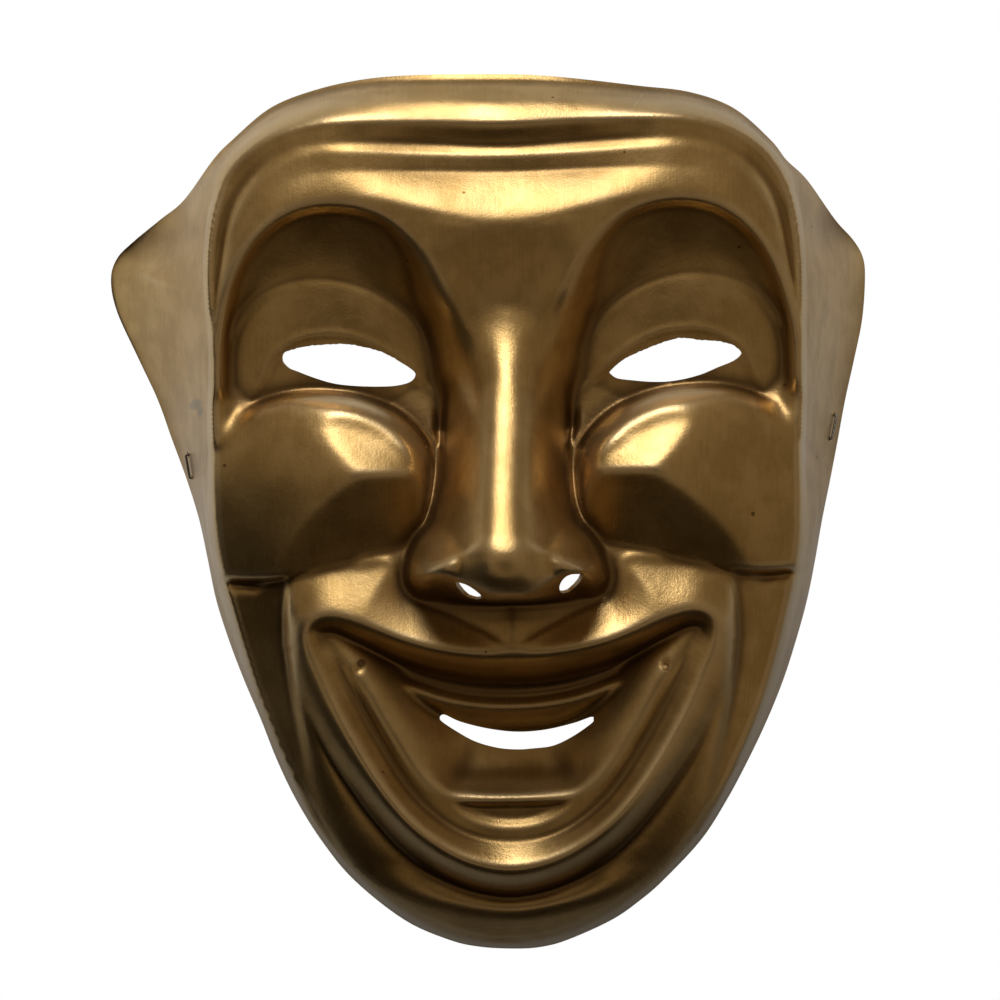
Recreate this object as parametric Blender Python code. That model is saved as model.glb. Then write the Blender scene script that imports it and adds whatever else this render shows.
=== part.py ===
"""Laughing comedy theatre mask: one thin moulded shell with side flaps, and two wire staples.

The mask lies on its rim, face up: +Z is the way the face looks and +Y is towards the forehead.
The origin is on the surface it rests on, at the middle of the mask's length and width.

The face is drawn flat, in millimetres, as guide curves with heights. Most curves are drawn for one half
of the face and mirrored over a midline that leans a little, as the moulded face does. Each stretch of
surface is lofted between two neighbouring guides, the steep wall and the flaps run from the shoulder
line down to the rim, and the whole form narrows with height by the mould's draft.
"""

import math

import bmesh
import bpy
import numpy as np
from mathutils import Matrix, Vector
from mathutils.bvhtree import BVHTree
from mathutils.geometry import delaunay_2d_cdt

MM = 0.001
WALL = 1.2
DRAFT = 1.0 / 1600.0
FIELD_STEP = 0.7
EDGE_ROUNDING = 0.7
GUIDE_ROUNDING = 1.2
SHEET_SPACING = 1.7
OPENING_SPACING = 1.4
NOSTRIL_SPACING = 0.9
RIM_ROWS = (0.35, 0.9, 1.8, 3.0)
SHELL_TRIANGLES = 4450
WALL_EVENING_ROUNDS = 4
FOLD_EASING_ROUNDS = 16
FOLDED = 0.2
RIM_BAND = 4.0
ON_RIM = 0.5
ON_GROUND = 0.25

CHEEK_APEX = (36.6, 7.1, 68.0)
CHEEK_UPPER_SLOPE = 0.62
CHEEK_LOWER_SLOPE = 0.50
CHEEK_LIMB_SLOPE = 2.2
CHEEK_LIMB = 2.5
CHEEK_BAND = 6.5
EYEBALL_HEIGHT = 49.2
BROW_OVERHANG = 0.6
LID_STEP = 0.1
LEDGE_DROP = 2.0
CHIN_ROLL_RISE = 2.2
MOUTH_FLOOR_HEIGHT = 49.6
TEETH_RISE = 4.0
TEETH_LINE_RISE = 0.9
RECESS_DEPTH = 1.4
DIMPLE = (38.4, -41.6)
DIMPLE_DEPTH = 0.8
GROUND_HEIGHT = 46.0
PHILTRUM_RISE = 7.0
TOP_RIM_HEIGHT = 43.0
TOP_RIM_FALL = 6.0
JAW_RIM_HEIGHT = 11.0
RIDGE_HALF_WIDTH = 3.4
RIDGE_ROUNDING = 2.6
NOSE_BRIM = 7.0
NOSE_ROOT = (8.0, 39.0)
ROOT_ROUNDING = 2.6
DENT_CENTRE = (0.9, -61.5)
DENT_RADIUS = 20.5
DENT_TOP = -75.4
DENT_DEPTH = 1.6
DENT_WALL = 2.4

WIRE_RADIUS = 0.3
STAPLE_GAP = 0.3
STAPLE_BEND = 0.35
STAPLE_LEG = 2.0
LEG_HOLE_RADIUS = 0.65
LEG_DRILL_DEPTH = 6.0
STAPLE_ENDS = {
    "staple_left": ((-80.8, 12.7), (-79.9, 6.9)),
    "staple_right": ((80.9, 19.8), (79.6, 13.9)),
}

GOLD = (0.52, 0.35, 0.13, 1.0)
WIRE_GREY = (0.42, 0.40, 0.37, 1.0)

# The midline's sideways place and, near the nose, its extra lean: (height up the face, place).
MIDLINE = [
    (-112, -2.3), (-97, -1.9), (-78, -1.3), (-50, -0.8), (-18, -1.0), (7, -1.3), (36, -0.6), (60, -1.0),
    (106, -0.8),
]
NOSE_LEAN = [(-40, 0.0), (-28, 0.3), (-15, -1.3), (20, -0.2), (45, 0.0)]

# The rim, all round, as (x, y).
OUTLINE = [
    (0.1, 106.4), (-21.1, 106.6), (-34.9, 105.8), (-47.5, 103.3), (-58.8, 99.0), (-68.4, 91.2),
    (-73.3, 86.3), (-80.7, 76.4), (-86.8, 71.5), (-93.6, 66.1), (-97.7, 62.0), (-99.3, 56.7),
    (-97.9, 48.7), (-92.6, 36.6), (-88.1, 26.5), (-84.7, 16.5), (-81.2, 6.4), (-78.3, -3.6),
    (-76.3, -13.7), (-74.4, -23.7), (-71.4, -33.8), (-67.8, -43.8), (-63.7, -53.9), (-59.9, -64.0),
    (-55.3, -74.0), (-49.2, -84.2), (-41.2, -94.3), (-28.8, -104.5), (-17.7, -109.7), (-9.9, -111.6),
    (-1.2, -112.2), (5.3, -111.9), (12.1, -110.2), (23.2, -105.4), (30.5, -100.5), (36.3, -95.6),
    (45.8, -85.8), (52.4, -75.9), (57.9, -66.0), (62.8, -56.1), (67.0, -46.2), (70.4, -36.2),
    (73.3, -26.3), (75.5, -16.3), (77.4, -6.4), (79.6, 3.6), (81.7, 13.6), (83.7, 23.5), (86.1, 33.5),
    (88.3, 43.5), (89.2, 53.5), (88.8, 59.0), (86.4, 63.5), (82.0, 68.6), (75.1, 78.7), (70.0, 83.8),
    (66.1, 88.9), (57.0, 97.0), (46.0, 101.2), (33.8, 102.9), (21.3, 104.6), (10.6, 105.8),
]

# The openings, each a closed loop of (x, y).
EYE_LEFT = [
    (-23.8, 31.2), (-24.2, 32.7), (-28.0, 35.4), (-32.2, 37.6), (-36.4, 38.8), (-42.0, 39.7),
    (-49.0, 39.4), (-53.2, 38.8), (-56.4, 37.7), (-56.8, 35.6), (-55.4, 34.0), (-53.3, 33.1),
    (-49.1, 31.4), (-44.3, 29.9), (-39.4, 29.2), (-33.8, 28.9), (-28.9, 29.0), (-25.3, 29.8),
]
EYE_RIGHT = [
    (25.0, 31.7), (28.3, 34.5), (32.6, 36.5), (36.8, 38.2), (41.0, 39.4), (43.8, 39.7), (48.0, 39.1),
    (52.2, 38.7), (55.7, 37.8), (57.6, 36.4), (57.9, 35.3), (56.0, 33.8), (52.1, 32.3), (47.9, 30.6),
    (43.7, 29.5), (39.4, 28.9), (35.2, 28.9), (31.0, 29.3), (26.8, 29.9), (25.2, 30.9),
]
MOUTH_SLIT = [
    (-17.6, -53.5), (-13.8, -55.3), (-6.9, -57.1), (0.2, -58.0), (7.2, -57.6), (14.2, -56.1),
    (18.8, -54.6), (19.3, -55.2), (18.8, -56.2), (14.2, -59.3), (9.2, -61.6), (4.3, -62.2),
    (0.1, -62.4), (-4.8, -61.9), (-10.4, -60.2), (-15.3, -57.4), (-18.7, -55.0), (-19.1, -54.1),
    (-18.7, -53.5),
]
NOSTRIL_LEFT = [
    (-14.6, -20.5), (-12.1, -21.0), (-9.6, -22.6), (-8.2, -24.1), (-9.4, -24.8), (-11.9, -24.0),
    (-13.6, -22.5),
]
NOSTRIL_RIGHT = [
    (17.4, -18.9), (14.9, -18.8), (12.7, -19.7), (11.4, -21.7), (11.8, -23.5), (13.8, -23.2),
    (16.1, -21.3),
]

# Guides of one half of the face as (distance from the midline, y, height).
SHOULDER = [
    (0, 94.5, 55.5), (20, 95.2, 54.6), (40, 95.4, 54.4), (50, 94.2, 52.9), (58, 91.5, 51),
    (64, 87.6, 49.4), (68.4, 82.5, 48.0), (71.4, 76.5, 48.0), (73.2, 69, 48.8), (74.0, 60, 49.6),
    (74.0, 50, 50.2), (73.7, 40, 50.5), (73.6, 25, 50.5), (73.5, 10, 50), (73.4, 0, 49.5),
    (72.8, -8.7, 48.5), (71.2, -17.5, 47.5), (69, -25.6, 47), (66.6, -35, 46), (63.8, -45, 45),
    (60.6, -54.6, 44.3), (56.5, -64.6, 43.6), (51.8, -74.6, 43), (46.2, -84, 42.4), (38, -93.2, 41.6),
    (28.8, -100.8, 40.5), (20, -106, 39.3), (10.4, -109.3, 38.3), (0, -110.6, 38),
]
FOREHEAD_GROOVE = [
    (0, 88.6, 53.5), (20, 89.4, 52.8), (40, 90.4, 54.6), (50, 90.2, 53.2), (58, 87.6, 51.2),
    (63.6, 83.4, 49.4), (67.4, 78.0, 48.4), (70.0, 71, 48.2), (71.7, 62, 48.4), (72.8, 52, 49.6),
]
FOREHEAD_FOLD = [
    (0, 86.3, 54.9), (20, 87.1, 54.6), (38, 88.0, 55.8), (48, 87.6, 54.7), (55.2, 85.2, 53.4),
    (60.6, 81.4, 52.5), (64.8, 76.2, 51.8), (68.0, 69.6, 51.3), (70.6, 61, 50.2), (72.3, 51, 50.6),
]
FOREHEAD_FOOT = [
    (0, 82, 54.9), (20, 82.3, 54.9), (38, 82.9, 56.6), (48, 82.4, 55.6), (54.6, 80.4, 54.7),
    (59.6, 77.4, 53.8), (63.8, 73.0, 52.9), (67.2, 67.0, 52.2), (69.8, 59, 51.8), (71.9, 49, 51.4),
]
FOREHEAD_CREST = [
    (0, 69.5, 62.3), (10, 70.6, 62.1), (20, 73.0, 61.2), (32, 75.6, 59.6), (44, 76.2, 58.0),
    (54, 73.8, 56.6), (61.5, 67.6, 55.2), (67, 58.5, 53.6), (70, 50, 52.3), (71.6, 42, 51.5),
]
BROW_EDGE = [
    (6.4, 24, 50), (7.5, 37.9, 55.6), (9.3, 45.7, 57.5), (12.4, 53.1, 59.2), (16.5, 60.0, 60.2),
    (21.9, 66.0, 60.2), (28.4, 70.7, 59.4), (35.7, 73.8, 58.4), (43.7, 74.9, 57.4), (51.6, 73.7, 56.3),
    (58.6, 70.0, 55.2),
    (64.2, 64.3, 54.0), (68.1, 57.3, 52.9), (70.5, 49.7, 52.0), (71.6, 41.7, 51.4), (72.1, 33.6, 51),
    (72.2, 25.6, 51), (72.2, 15, 51),
]
LID_FOOT = [
    (16.0, 18, 45.2), (16.2, 29.3, 45.4), (17.9, 36.5, 46.0), (21.4, 43.1, 47.1), (26.4, 48.6, 47.8),
    (32.6, 52.7, 48.3), (39.5, 55.3, 48.5), (46.9, 56.4, 48.4), (54.2, 55.6, 48.1), (61.1, 52.8, 47.7),
    (66.6, 47.9, 47.3), (70.2, 41.3, 47.1), (71.5, 34, 47.2), (71.8, 20, 48.5),
]
LASH_LINE = [
    (20.5, 29.0), (23.5, 32.5), (27.4, 35.8), (31.6, 38.6), (36.1, 40.8), (41.0, 42.1), (46.1, 42.4),
    (51.1, 41.7), (55.7, 39.8), (59.5, 36.5), (61, 33),
]
CHEEK_RIM = [
    (24, -14), (21.5, -6), (20.0, 0.5), (19.9, 7.5), (21.0, 12.9), (24.3, 17.5), (28.6, 21.0),
    (33.7, 23.6), (39.0, 25.3), (44.6, 26.1), (50.2, 26.3), (55.8, 25.6), (61.1, 23.8), (65.9, 20.9),
    (70.0, 17.0), (74, 12),
]
NOSE_FOOT = [
    (0, 49.5, 58.8), (3.2, 48.8, 58.7), (6.4, 45.6, 57.6), (10.0, 41, 54.6), (13.4, 35, 50.0),
    (15.2, 27.5, 47.6), (15.6, 19.8, 47.8), (16.1, 12.2, 49.3), (17.3, 4.8, 51), (19.6, -2.5, 52.4),
    (22.9, -9.3, 55.4), (25.8, -16.3, 57.8), (25.2, -21.5, 58.8), (21.5, -24.4, 59.4),
    (16.5, -24.7, 61.8), (12, -24.6, 66), (7, -26.0, 68.6), (0, -27.3, 69.4),
]
NOSE_EDGE = [
    (0, -25.4), (2.4, -25.0), (5.9, -23.8), (10.1, -21.3), (14.1, -18.8), (18.3, -17.9), (22.6, -18.9),
    (26.0, -21.8),
]
LEDGE = [(52, -17.6), (58.8, -18.4), (64.4, -18.7), (70, -18.2), (76, -17.5)]
JAW_FOLD = [
    (57.4, -14, 54), (57.4, -25, 54), (57.4, -36.5, 53), (56.3, -48, 52), (53.9, -59.2, 51),
    (50.6, -70.3, 50), (46.4, -81, 48.6), (40.5, -90.8, 47), (32.4, -98.9, 45.6), (22.4, -104.6, 44.8),
    (11.4, -107.6, 44.3), (0, -108.6, 44.2), (-11.4, -107.6, 44.3),
]
LIPS_FOOT = [
    (0, -37.4, 65.0), (6, -36.0, 64.8), (12, -32.6, 63.0), (18, -28.7, 59.8), (24, -25.2, 58.4),
    (26.8, -21.5, 58.2), (27.6, -17.0, 58.0), (30.4, -13.8, 57.6), (37, -14.5, 57.2), (43, -15.2, 56.5),
    (48, -16.2, 56.3), (52.5, -18.8, 56.2), (55.4, -23.5, 56.2), (56.3, -30, 56.2), (56.0, -36, 56.0),
    (54.3, -44.5, 55.8), (50.6, -54, 55.6), (46, -63, 55.2), (40.5, -71.5, 54.6), (34.5, -79.5, 53.8),
    (27.5, -87, 52.6), (19.5, -93, 51.4), (9.8, -97.3, 50.4), (0, -99, 50.0),
]
LIPS_CREST = [
    (0, -39.4, 65.4), (8, -39.2, 65.6), (14, -38.6, 65.8), (20, -37.4, 65.6), (26, -35.6, 65.2),
    (32, -33.2, 64.6), (38, -30.6, 63.8), (44, -28.6, 63.0), (48.4, -28.4, 62.3), (51.4, -30.4, 61.6),
    (52.0, -34.2, 61.0), (50.6, -38.6, 60.8), (48.4, -42.7, 61.0), (45.1, -50.3, 61.7),
    (40.7, -58.5, 62.6), (35.9, -66.4, 63.4), (30.6, -74.0, 64.0), (24.6, -80.9, 64.3),
    (17.2, -86.5, 64.2), (9.0, -90.6, 63.9), (0, -92.2, 63.8),
]
LIPS_INNER = [
    (0, -45.2, 53.8), (10, -44.6, 53.8), (20, -42.4, 54), (30, -38.8, 55), (38, -35.0, 56.5),
    (44, -32.2, 57.8), (47.4, -32.2, 58.6), (47.4, -35, 58.7), (45, -38.6, 58.8), (41.5, -44.2, 58.9),
    (37, -52.5, 59.2), (33, -60, 59.5), (28.6, -67.8, 59.6), (23, -75, 59.5), (15.5, -81.3, 59.2),
    (8, -84.4, 59.0), (0, -85.2, 58.9),
]
MOUTH_EDGE = [
    (46.5, -34, 58.4), (43.5, -37.4, 58.5), (40.0, -41.8, 58.6), (36.2, -47.3, 58.7),
    (33.0, -53.3, 58.8), (29.2, -59.5, 58.9), (25.2, -65.6, 58.9), (20.8, -70.8, 58.8),
    (15.5, -74.4, 58.6), (7.2, -75.4, 58.4), (0, -75.6, 58.4), (-7.2, -75.4, 58.4),
]
TEETH_LINE = [
    (-7.9, -51.1), (0, -51.5), (7.9, -51.1), (15.7, -49.8), (23.2, -47.3), (30.4, -44.0), (38, -39.5),
    (44, -35),
]

# The edges that the mesh follows, each with how far inside the guide its row of points runs.
CRISP_EDGES = [
    (SHOULDER, 0.0), (BROW_EDGE, 0.2), (BROW_EDGE, 1.8), (CHEEK_RIM, 0.4), (LEDGE, 0.0), (LEDGE, 1.0),
    (LIPS_FOOT, 0.0), (LIPS_CREST, 0.0), (JAW_FOLD, 0.0),
]

# Heights up the centre line of the forehead, as (y, height).
CENTRE_LINE = [(30, 60.0), (42, 59.5), (50, 59.3), (57.5, 60.3), (64, 61.8), (68.75, 62.4), (72, 62.3)]
NOSE_RIDGE = [
    (-15.5, 91.0), (-12, 90), (-4, 85.5), (6, 80), (20, 72.3), (32, 66.0), (40, 62.0), (46, 59.9), (52, 59.3),
]

# How the top wall rises from the rim to its roll, as (share of the way in, share of the rise).
TOP_WALL = [(0.0, 0.0), (0.16, 0.12), (0.36, 0.46), (0.56, 0.73), (0.8, 0.91), (1.0, 1.0)]


def smooth(t):
    """Ease from 0 to 1 over the range 0 to 1."""
    t = np.clip(t, 0.0, 1.0)
    return t * t * (3.0 - 2.0 * t)


def mix(a, b, share):
    return a + (b - a) * share


def soft_max(a, b, fillet):
    return 0.5 * (a + b + np.sqrt((a - b) ** 2 + fillet * fillet))


def soft_min(a, b, fillet):
    return 0.5 * (a + b - np.sqrt((a - b) ** 2 + fillet * fillet))


def spline(points, closed=False, per_span=6):
    """Points along a smooth curve that passes through all the given ones."""
    knots = np.array(points, float)
    count = len(knots)
    if closed:
        knots = np.vstack([knots[-1], knots, knots[0], knots[1]])
        spans = count
    else:
        knots = np.vstack([2 * knots[0] - knots[1], knots, 2 * knots[-1] - knots[-2]])
        spans = count - 1
    t = np.linspace(0.0, 1.0, per_span, endpoint=False)[:, None]
    runs = []
    for i in range(spans):
        a, b, c, d = knots[i:i + 4]
        bend = (2 * a - 5 * b + 4 * c - d) * t ** 2 + (3 * b - a - 3 * c + d) * t ** 3
        runs.append(0.5 * (2 * b + (c - a) * t + bend))
    if not closed:
        runs.append(knots[-2:-1])
    return np.vstack(runs)


def lookup(value, table):
    """The table's result at a place, along a smooth curve through its entries."""
    places, results = spline(table).T
    return np.interp(value, places, results)


def blurred(field, reach):
    """The field with its creases rounded over the given number of steps."""
    size = int(3 * reach) + 1
    weights = np.exp(-0.5 * (np.arange(-size, size + 1) / reach) ** 2)
    weights = weights / weights.sum()
    padded = np.pad(field, size, mode="edge")
    rows = sum(w * padded[i:i + field.shape[0], :] for i, w in enumerate(weights))
    return sum(w * rows[:, i:i + field.shape[1]] for i, w in enumerate(weights))


def inside_polygon(loop, points):
    """Whether each point is inside the straight-sided loop."""
    odd = np.zeros(points.shape[:1], bool)
    x, y = points.T
    for (x0, y0), (x1, y1) in zip(loop, np.roll(loop, -1, axis=0)):
        if y0 != y1:
            odd ^= ((y0 > y) != (y1 > y)) & (x < (x1 - x0) * (y - y0) / (y1 - y0) + x0)
    return odd


class Guide:
    """A smooth curve in the drawing, with heights along it."""

    def __init__(self, points, closed=False):
        with_heights = [tuple(p) if len(p) == 3 else tuple(p) + (0.0,) for p in points]
        self.line = spline(with_heights, closed)
        if closed:
            self.line = np.vstack([self.line, self.line[:1]])
        steps = np.hypot(*np.diff(self.line[:, :2], axis=0).T)
        self.lengths = np.concatenate([[0.0], np.cumsum(steps)])

    def near(self, x, y):
        """Distance to the curve (positive on its right as it runs), its height and share of length there."""
        best = np.full(x.shape, 1e18)
        side = np.zeros(x.shape)
        height = np.zeros(x.shape)
        along = np.zeros(x.shape)
        for i in range(len(self.line) - 1):
            ax, ay, az = self.line[i]
            dx, dy, dz = self.line[i + 1] - self.line[i]
            t = np.clip(((x - ax) * dx + (y - ay) * dy) / (dx * dx + dy * dy + 1e-12), 0.0, 1.0)
            ex = x - ax - t * dx
            ey = y - ay - t * dy
            square = ex * ex + ey * ey
            closer = square < best
            best = np.where(closer, square, best)
            side = np.where(closer, dy * ex - dx * ey, side)
            height = np.where(closer, az + t * dz, height)
            along = np.where(closer, self.lengths[i] + t * (self.lengths[i + 1] - self.lengths[i]), along)
        distance = np.sqrt(best) * np.where(side >= 0, 1.0, -1.0)
        if x.ndim == 2:
            reach = GUIDE_ROUNDING / FIELD_STEP
            distance, height, along = (blurred(field, reach) for field in (distance, height, along))
        return distance, height, along / self.lengths[-1]

    def holds(self, x, y):
        """Whether each point is inside this closed curve."""
        flat = np.column_stack([np.ravel(x), np.ravel(y)])
        return inside_polygon(self.line[:-1, :2], flat).reshape(np.shape(x))


def mirrored(points):
    """An open guide that carries on a little way over the midline."""
    return Guide([(-p[0],) + tuple(p[1:]) for p in points[3:0:-1]] + list(points))


def closed_half(points):
    """A closed guide from one half that starts and ends on the midline."""
    return Guide(list(points) + [(-p[0],) + tuple(p[1:]) for p in points[-2:0:-1]], closed=True)


def share_between(first, second):
    """How far a point is from one guide towards the next, 0 to 1, from its distances to both."""
    return np.abs(first) / (np.abs(first) + np.abs(second) + 1e-9)


def forehead(x, y):
    """Top wall's crest, groove, fold and the rounded forehead, lofted from guide to guide."""
    edge, edge_z, _ = mirrored(SHOULDER[:12]).near(x, y)
    groove, groove_z, _ = mirrored(FOREHEAD_GROOVE).near(x, y)
    fold, fold_z, _ = mirrored(FOREHEAD_FOLD).near(x, y)
    foot, foot_z, _ = mirrored(FOREHEAD_FOOT).near(x, y)
    crest, crest_z, _ = mirrored(FOREHEAD_CREST).near(x, y)
    roll = mix(edge_z, groove_z, smooth(share_between(edge, groove)))
    rise = mix(groove_z, fold_z, share_between(groove, fold) ** 1.5)
    shelf = mix(fold_z, foot_z, share_between(fold, foot))
    swell = mix(foot_z, crest_z, 1.0 - (1.0 - share_between(foot, crest)) ** 1.35)
    middle = smooth((22.0 - x) / 16.0) * smooth(crest / 3.0)
    crown = mix(crest_z, lookup(y, CENTRE_LINE), middle)
    crown = crown - 0.02 * np.clip(crest, 0.0, 60.0) * smooth((x - 8.0) / 20.0)
    zones = [edge < 0, groove < 0, fold < 0, foot < 0, crest < 0]
    return np.select(zones, [edge_z, roll, rise, shelf, swell], crown)


def ground(x, y):
    """The lowest skin of the face, beside the nose and round the eyes."""
    rise = (7.0 * smooth((34.0 - y) / 44.0) + 5.0 * smooth((-2.0 - y) / 14.0)) * smooth((52.0 - x) / 16.0)
    philtrum = PHILTRUM_RISE + 0.55 * np.clip(y + 36.0, 0.0, 12.0)
    return GROUND_HEIGHT + rise + philtrum * smooth((-14.0 - y) / 10.0) * smooth((22.0 - x) / 18.0)


def eye_socket(x, y, brow, brow_z, brow_along):
    """The hollow under the brow, with the lid and eyeball standing in it."""
    lid, lid_z, _ = Guide(LID_FOOT).near(x, y)
    lash, _, _ = Guide(LASH_LINE).near(x, y)
    overhang = BROW_OVERHANG * smooth((brow_along - 0.26) / 0.18)
    eyeball = EYEBALL_HEIGHT - 3.4 * ((x - 43.0) / 27.0) ** 2 - ((y - 43.0) / 17.0) ** 2
    eyeball = np.maximum(eyeball - 0.5 * smooth(lash / 3.0), ground(x, y))
    share = np.where(brow > 0, share_between(brow, lid), 0.0)
    hollow = mix(brow_z - overhang, lid_z - LID_STEP, 1.0 - (1.0 - share) ** 1.3)
    lid_top = eyeball + 0.35 * np.exp(-(lash / 0.7) ** 2)
    socket = mix(hollow, lid_top, smooth(lid / 3.0))
    socket = np.where(y < 14.0, np.maximum(socket, ground(x, y)), socket)
    return mix(ground(x, y), socket, smooth((y - 4.0) / 14.0))


def nose(x, y, skin):
    """A ridge from the brow to the tip, with two wings, over its foot line."""
    foot_guide = closed_half(NOSE_FOOT)
    foot, foot_z, _ = foot_guide.near(x, y)
    tip_y = NOSE_RIDGE[0][0]
    from_ridge = np.hypot(x, y - np.clip(y, tip_y, 46.0)) - RIDGE_HALF_WIDTH
    from_ridge = soft_max(from_ridge, 0.0, RIDGE_ROUNDING)
    ridge_z = lookup(y, NOSE_RIDGE)
    brim = NOSE_BRIM * smooth((-13.0 - y) / 7.0) * smooth((25.0 - x) / 6.0)
    share = (np.abs(foot) + brim) / (np.abs(foot) + brim + from_ridge + 1e-9)
    form = mix(foot_z, ridge_z, 1.0 - (1.0 - share) ** 1.55)
    from_wing = np.hypot((np.abs(x) - 18.0) / 7.5, (y + 14.0) / 8.5)
    form = form + 5.0 * np.clip(1.0 - from_wing ** 2, 0.0, 1.0) ** 1.5
    edge, _, _ = mirrored(NOSE_EDGE).near(x, y)
    under = np.where(edge > 0, share_between(edge, foot), 0.0)
    form = mix(form, foot_z, smooth(under) ** 0.8)
    rooted = mix(1.0, smooth(np.abs(foot) / 4.0), smooth((y - 26.0) / 8.0))
    form = mix(skin, soft_max(form, skin - 1.0, 1.0), rooted)
    return np.where(foot_guide.holds(x, y), form, skin)


def cheek(x, y, skin):
    """A ball cheek with three facets that meet at its apex, and a steep limb up from its rim."""
    rim, _, _ = Guide(CHEEK_RIM).near(x, y)
    apex_x, apex_y, apex_z = CHEEK_APEX
    out = x - apex_x
    up = y - apex_y
    band = CHEEK_UPPER_SLOPE * soft_max(CHEEK_BAND - rim, 0.0, 2.0) * smooth((y - 8.0) / 7.0)
    upper = apex_z + 0.15 * out - CHEEK_UPPER_SLOPE * up - 0.004 * out ** 2 + band
    lower = apex_z + 0.15 * out + CHEEK_LOWER_SLOPE * up - 0.004 * out ** 2
    outer = apex_z - 0.243 * out - 0.143 * up - 0.006 * out ** 2 - 0.010 * up ** 2
    from_foot = rim + CHEEK_LIMB
    limb = ground(x, y) - 1.0 + CHEEK_LIMB_SLOPE * from_foot + 4.5 * smooth(from_foot / CHEEK_LIMB)
    ball = soft_min(soft_min(soft_min(upper, lower, 0.9), outer, 0.9), limb, 3.4)
    return np.where(from_foot > -1.0, soft_max(skin, ball, 0.8), skin)


def jaw(x, y, skin, lips_foot, lips_foot_z):
    """The hollow beside the mouth, under the cheek's ledge, and the chin roll."""
    shoulder, shoulder_z, _ = closed_half(SHOULDER).near(x, y)
    fold, fold_z, _ = Guide(JAW_FOLD).near(x, y)
    ledge, _, _ = Guide(LEDGE).near(x, y)
    hollow = mix(shoulder_z, fold_z, share_between(shoulder, fold) ** 1.1)
    share = share_between(fold, lips_foot)
    roll = CHIN_ROLL_RISE * smooth((-90.0 - y) / 12.0) * np.sin(np.pi * share)
    band = mix(fold_z, lips_foot_z, 1.0 - (1.0 - share) ** 2) + roll
    low = np.where(fold > 0, band, hollow)
    low = low - LEDGE_DROP * (1.0 - smooth(ledge / 4.5)) * smooth((x - 60.0) / 4.0)
    below = smooth(ledge) * np.where((x > 50.0) | (y < -25.0), 1.0, 0.0)
    return mix(skin, low, below)


def lip_dent(x, y):
    """Depth of the crescent that is pressed into the middle of the lower lip."""
    from_ring = DENT_RADIUS - np.hypot(x - DENT_CENTRE[0], y - DENT_CENTRE[1])
    return DENT_DEPTH * np.clip(np.minimum(from_ring / DENT_WALL, (DENT_TOP - y) / 1.2), 0.0, 1.0)


def mouth(x, y, skin):
    """The ring of both lips and the hollow inside it, with the teeth line."""
    foot_guide = closed_half(LIPS_FOOT)
    crest_guide = closed_half(LIPS_CREST)
    inner_guide = closed_half(LIPS_INNER)
    foot, foot_z, _ = foot_guide.near(x, y)
    crest, crest_z, _ = crest_guide.near(x, y)
    inner, inner_z, _ = inner_guide.near(x, y)
    edge, edge_z, _ = Guide(MOUTH_EDGE).near(x, y)
    teeth, _, _ = Guide(TEETH_LINE).near(x, y)
    skin = jaw(x, y, skin, foot, foot_z)
    share = share_between(foot, crest)
    upper = 1.0 - (1.0 - share) ** 1.2
    outside = mix(foot_z, crest_z, mix(np.sin(share * math.pi / 2), upper, smooth((y + 42.0) / 8.0)))
    share = share_between(crest, inner)
    inside = mix(crest_z, inner_z, mix(share, 0.6 * smooth(share) + 0.4 * share, smooth((y + 66.0) / 10.0)))
    plateau = mix(inner_z, edge_z, share_between(inner, edge))
    plateau = plateau - lip_dent(x, y)
    reach = mix(20.0, 12.0, smooth((-58.0 - y) / 14.0))
    bottom = mix(edge_z, MOUTH_FLOOR_HEIGHT, smooth(np.abs(edge) / reach))
    roof = MOUTH_FLOOR_HEIGHT + TEETH_RISE + TEETH_LINE_RISE * np.exp(-(teeth / 0.9) ** 2)
    roof = roof - RECESS_DEPTH * np.sin(share_between(inner, teeth) * math.pi) * (teeth < 0)
    bottom = soft_max(bottom, mix(MOUTH_FLOOR_HEIGHT, roof, smooth((6.5 - teeth) / 5.5)), 0.8)
    bottom = bottom - DIMPLE_DEPTH * np.exp(-(((x - DIMPLE[0]) ** 2 + (y - DIMPLE[1]) ** 2) / 0.9) ** 2)
    hollow = np.where(edge > 0, bottom, plateau)
    lips = np.where(inner_guide.holds(x, y), hollow, np.where(crest_guide.holds(x, y), inside, outside))
    joined = mix(soft_max(skin, lips, 1.0), lips, smooth(np.abs(foot) / 3.5))
    return np.where(foot_guide.holds(x, y), joined, skin)


def half_face(x, y):
    """Height of one half of the face, inside the shoulder line."""
    brow, brow_z, brow_along = Guide(BROW_EDGE).near(x, y)
    softness = mix(9.0, 1.6, smooth((brow_along - 0.2) / 0.2))
    socket = eye_socket(x, y, brow, brow_z, brow_along)
    skin = mix(forehead(x, y), socket, np.where(y > 14.0, smooth(brow / softness), 1.0))
    skin = mix(ground(x, y), skin, smooth((y - 8.0) / 10.0))
    skin = nose(x, y, skin)
    skin = cheek(x, y, skin)
    return mouth(x, y, skin)


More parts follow.
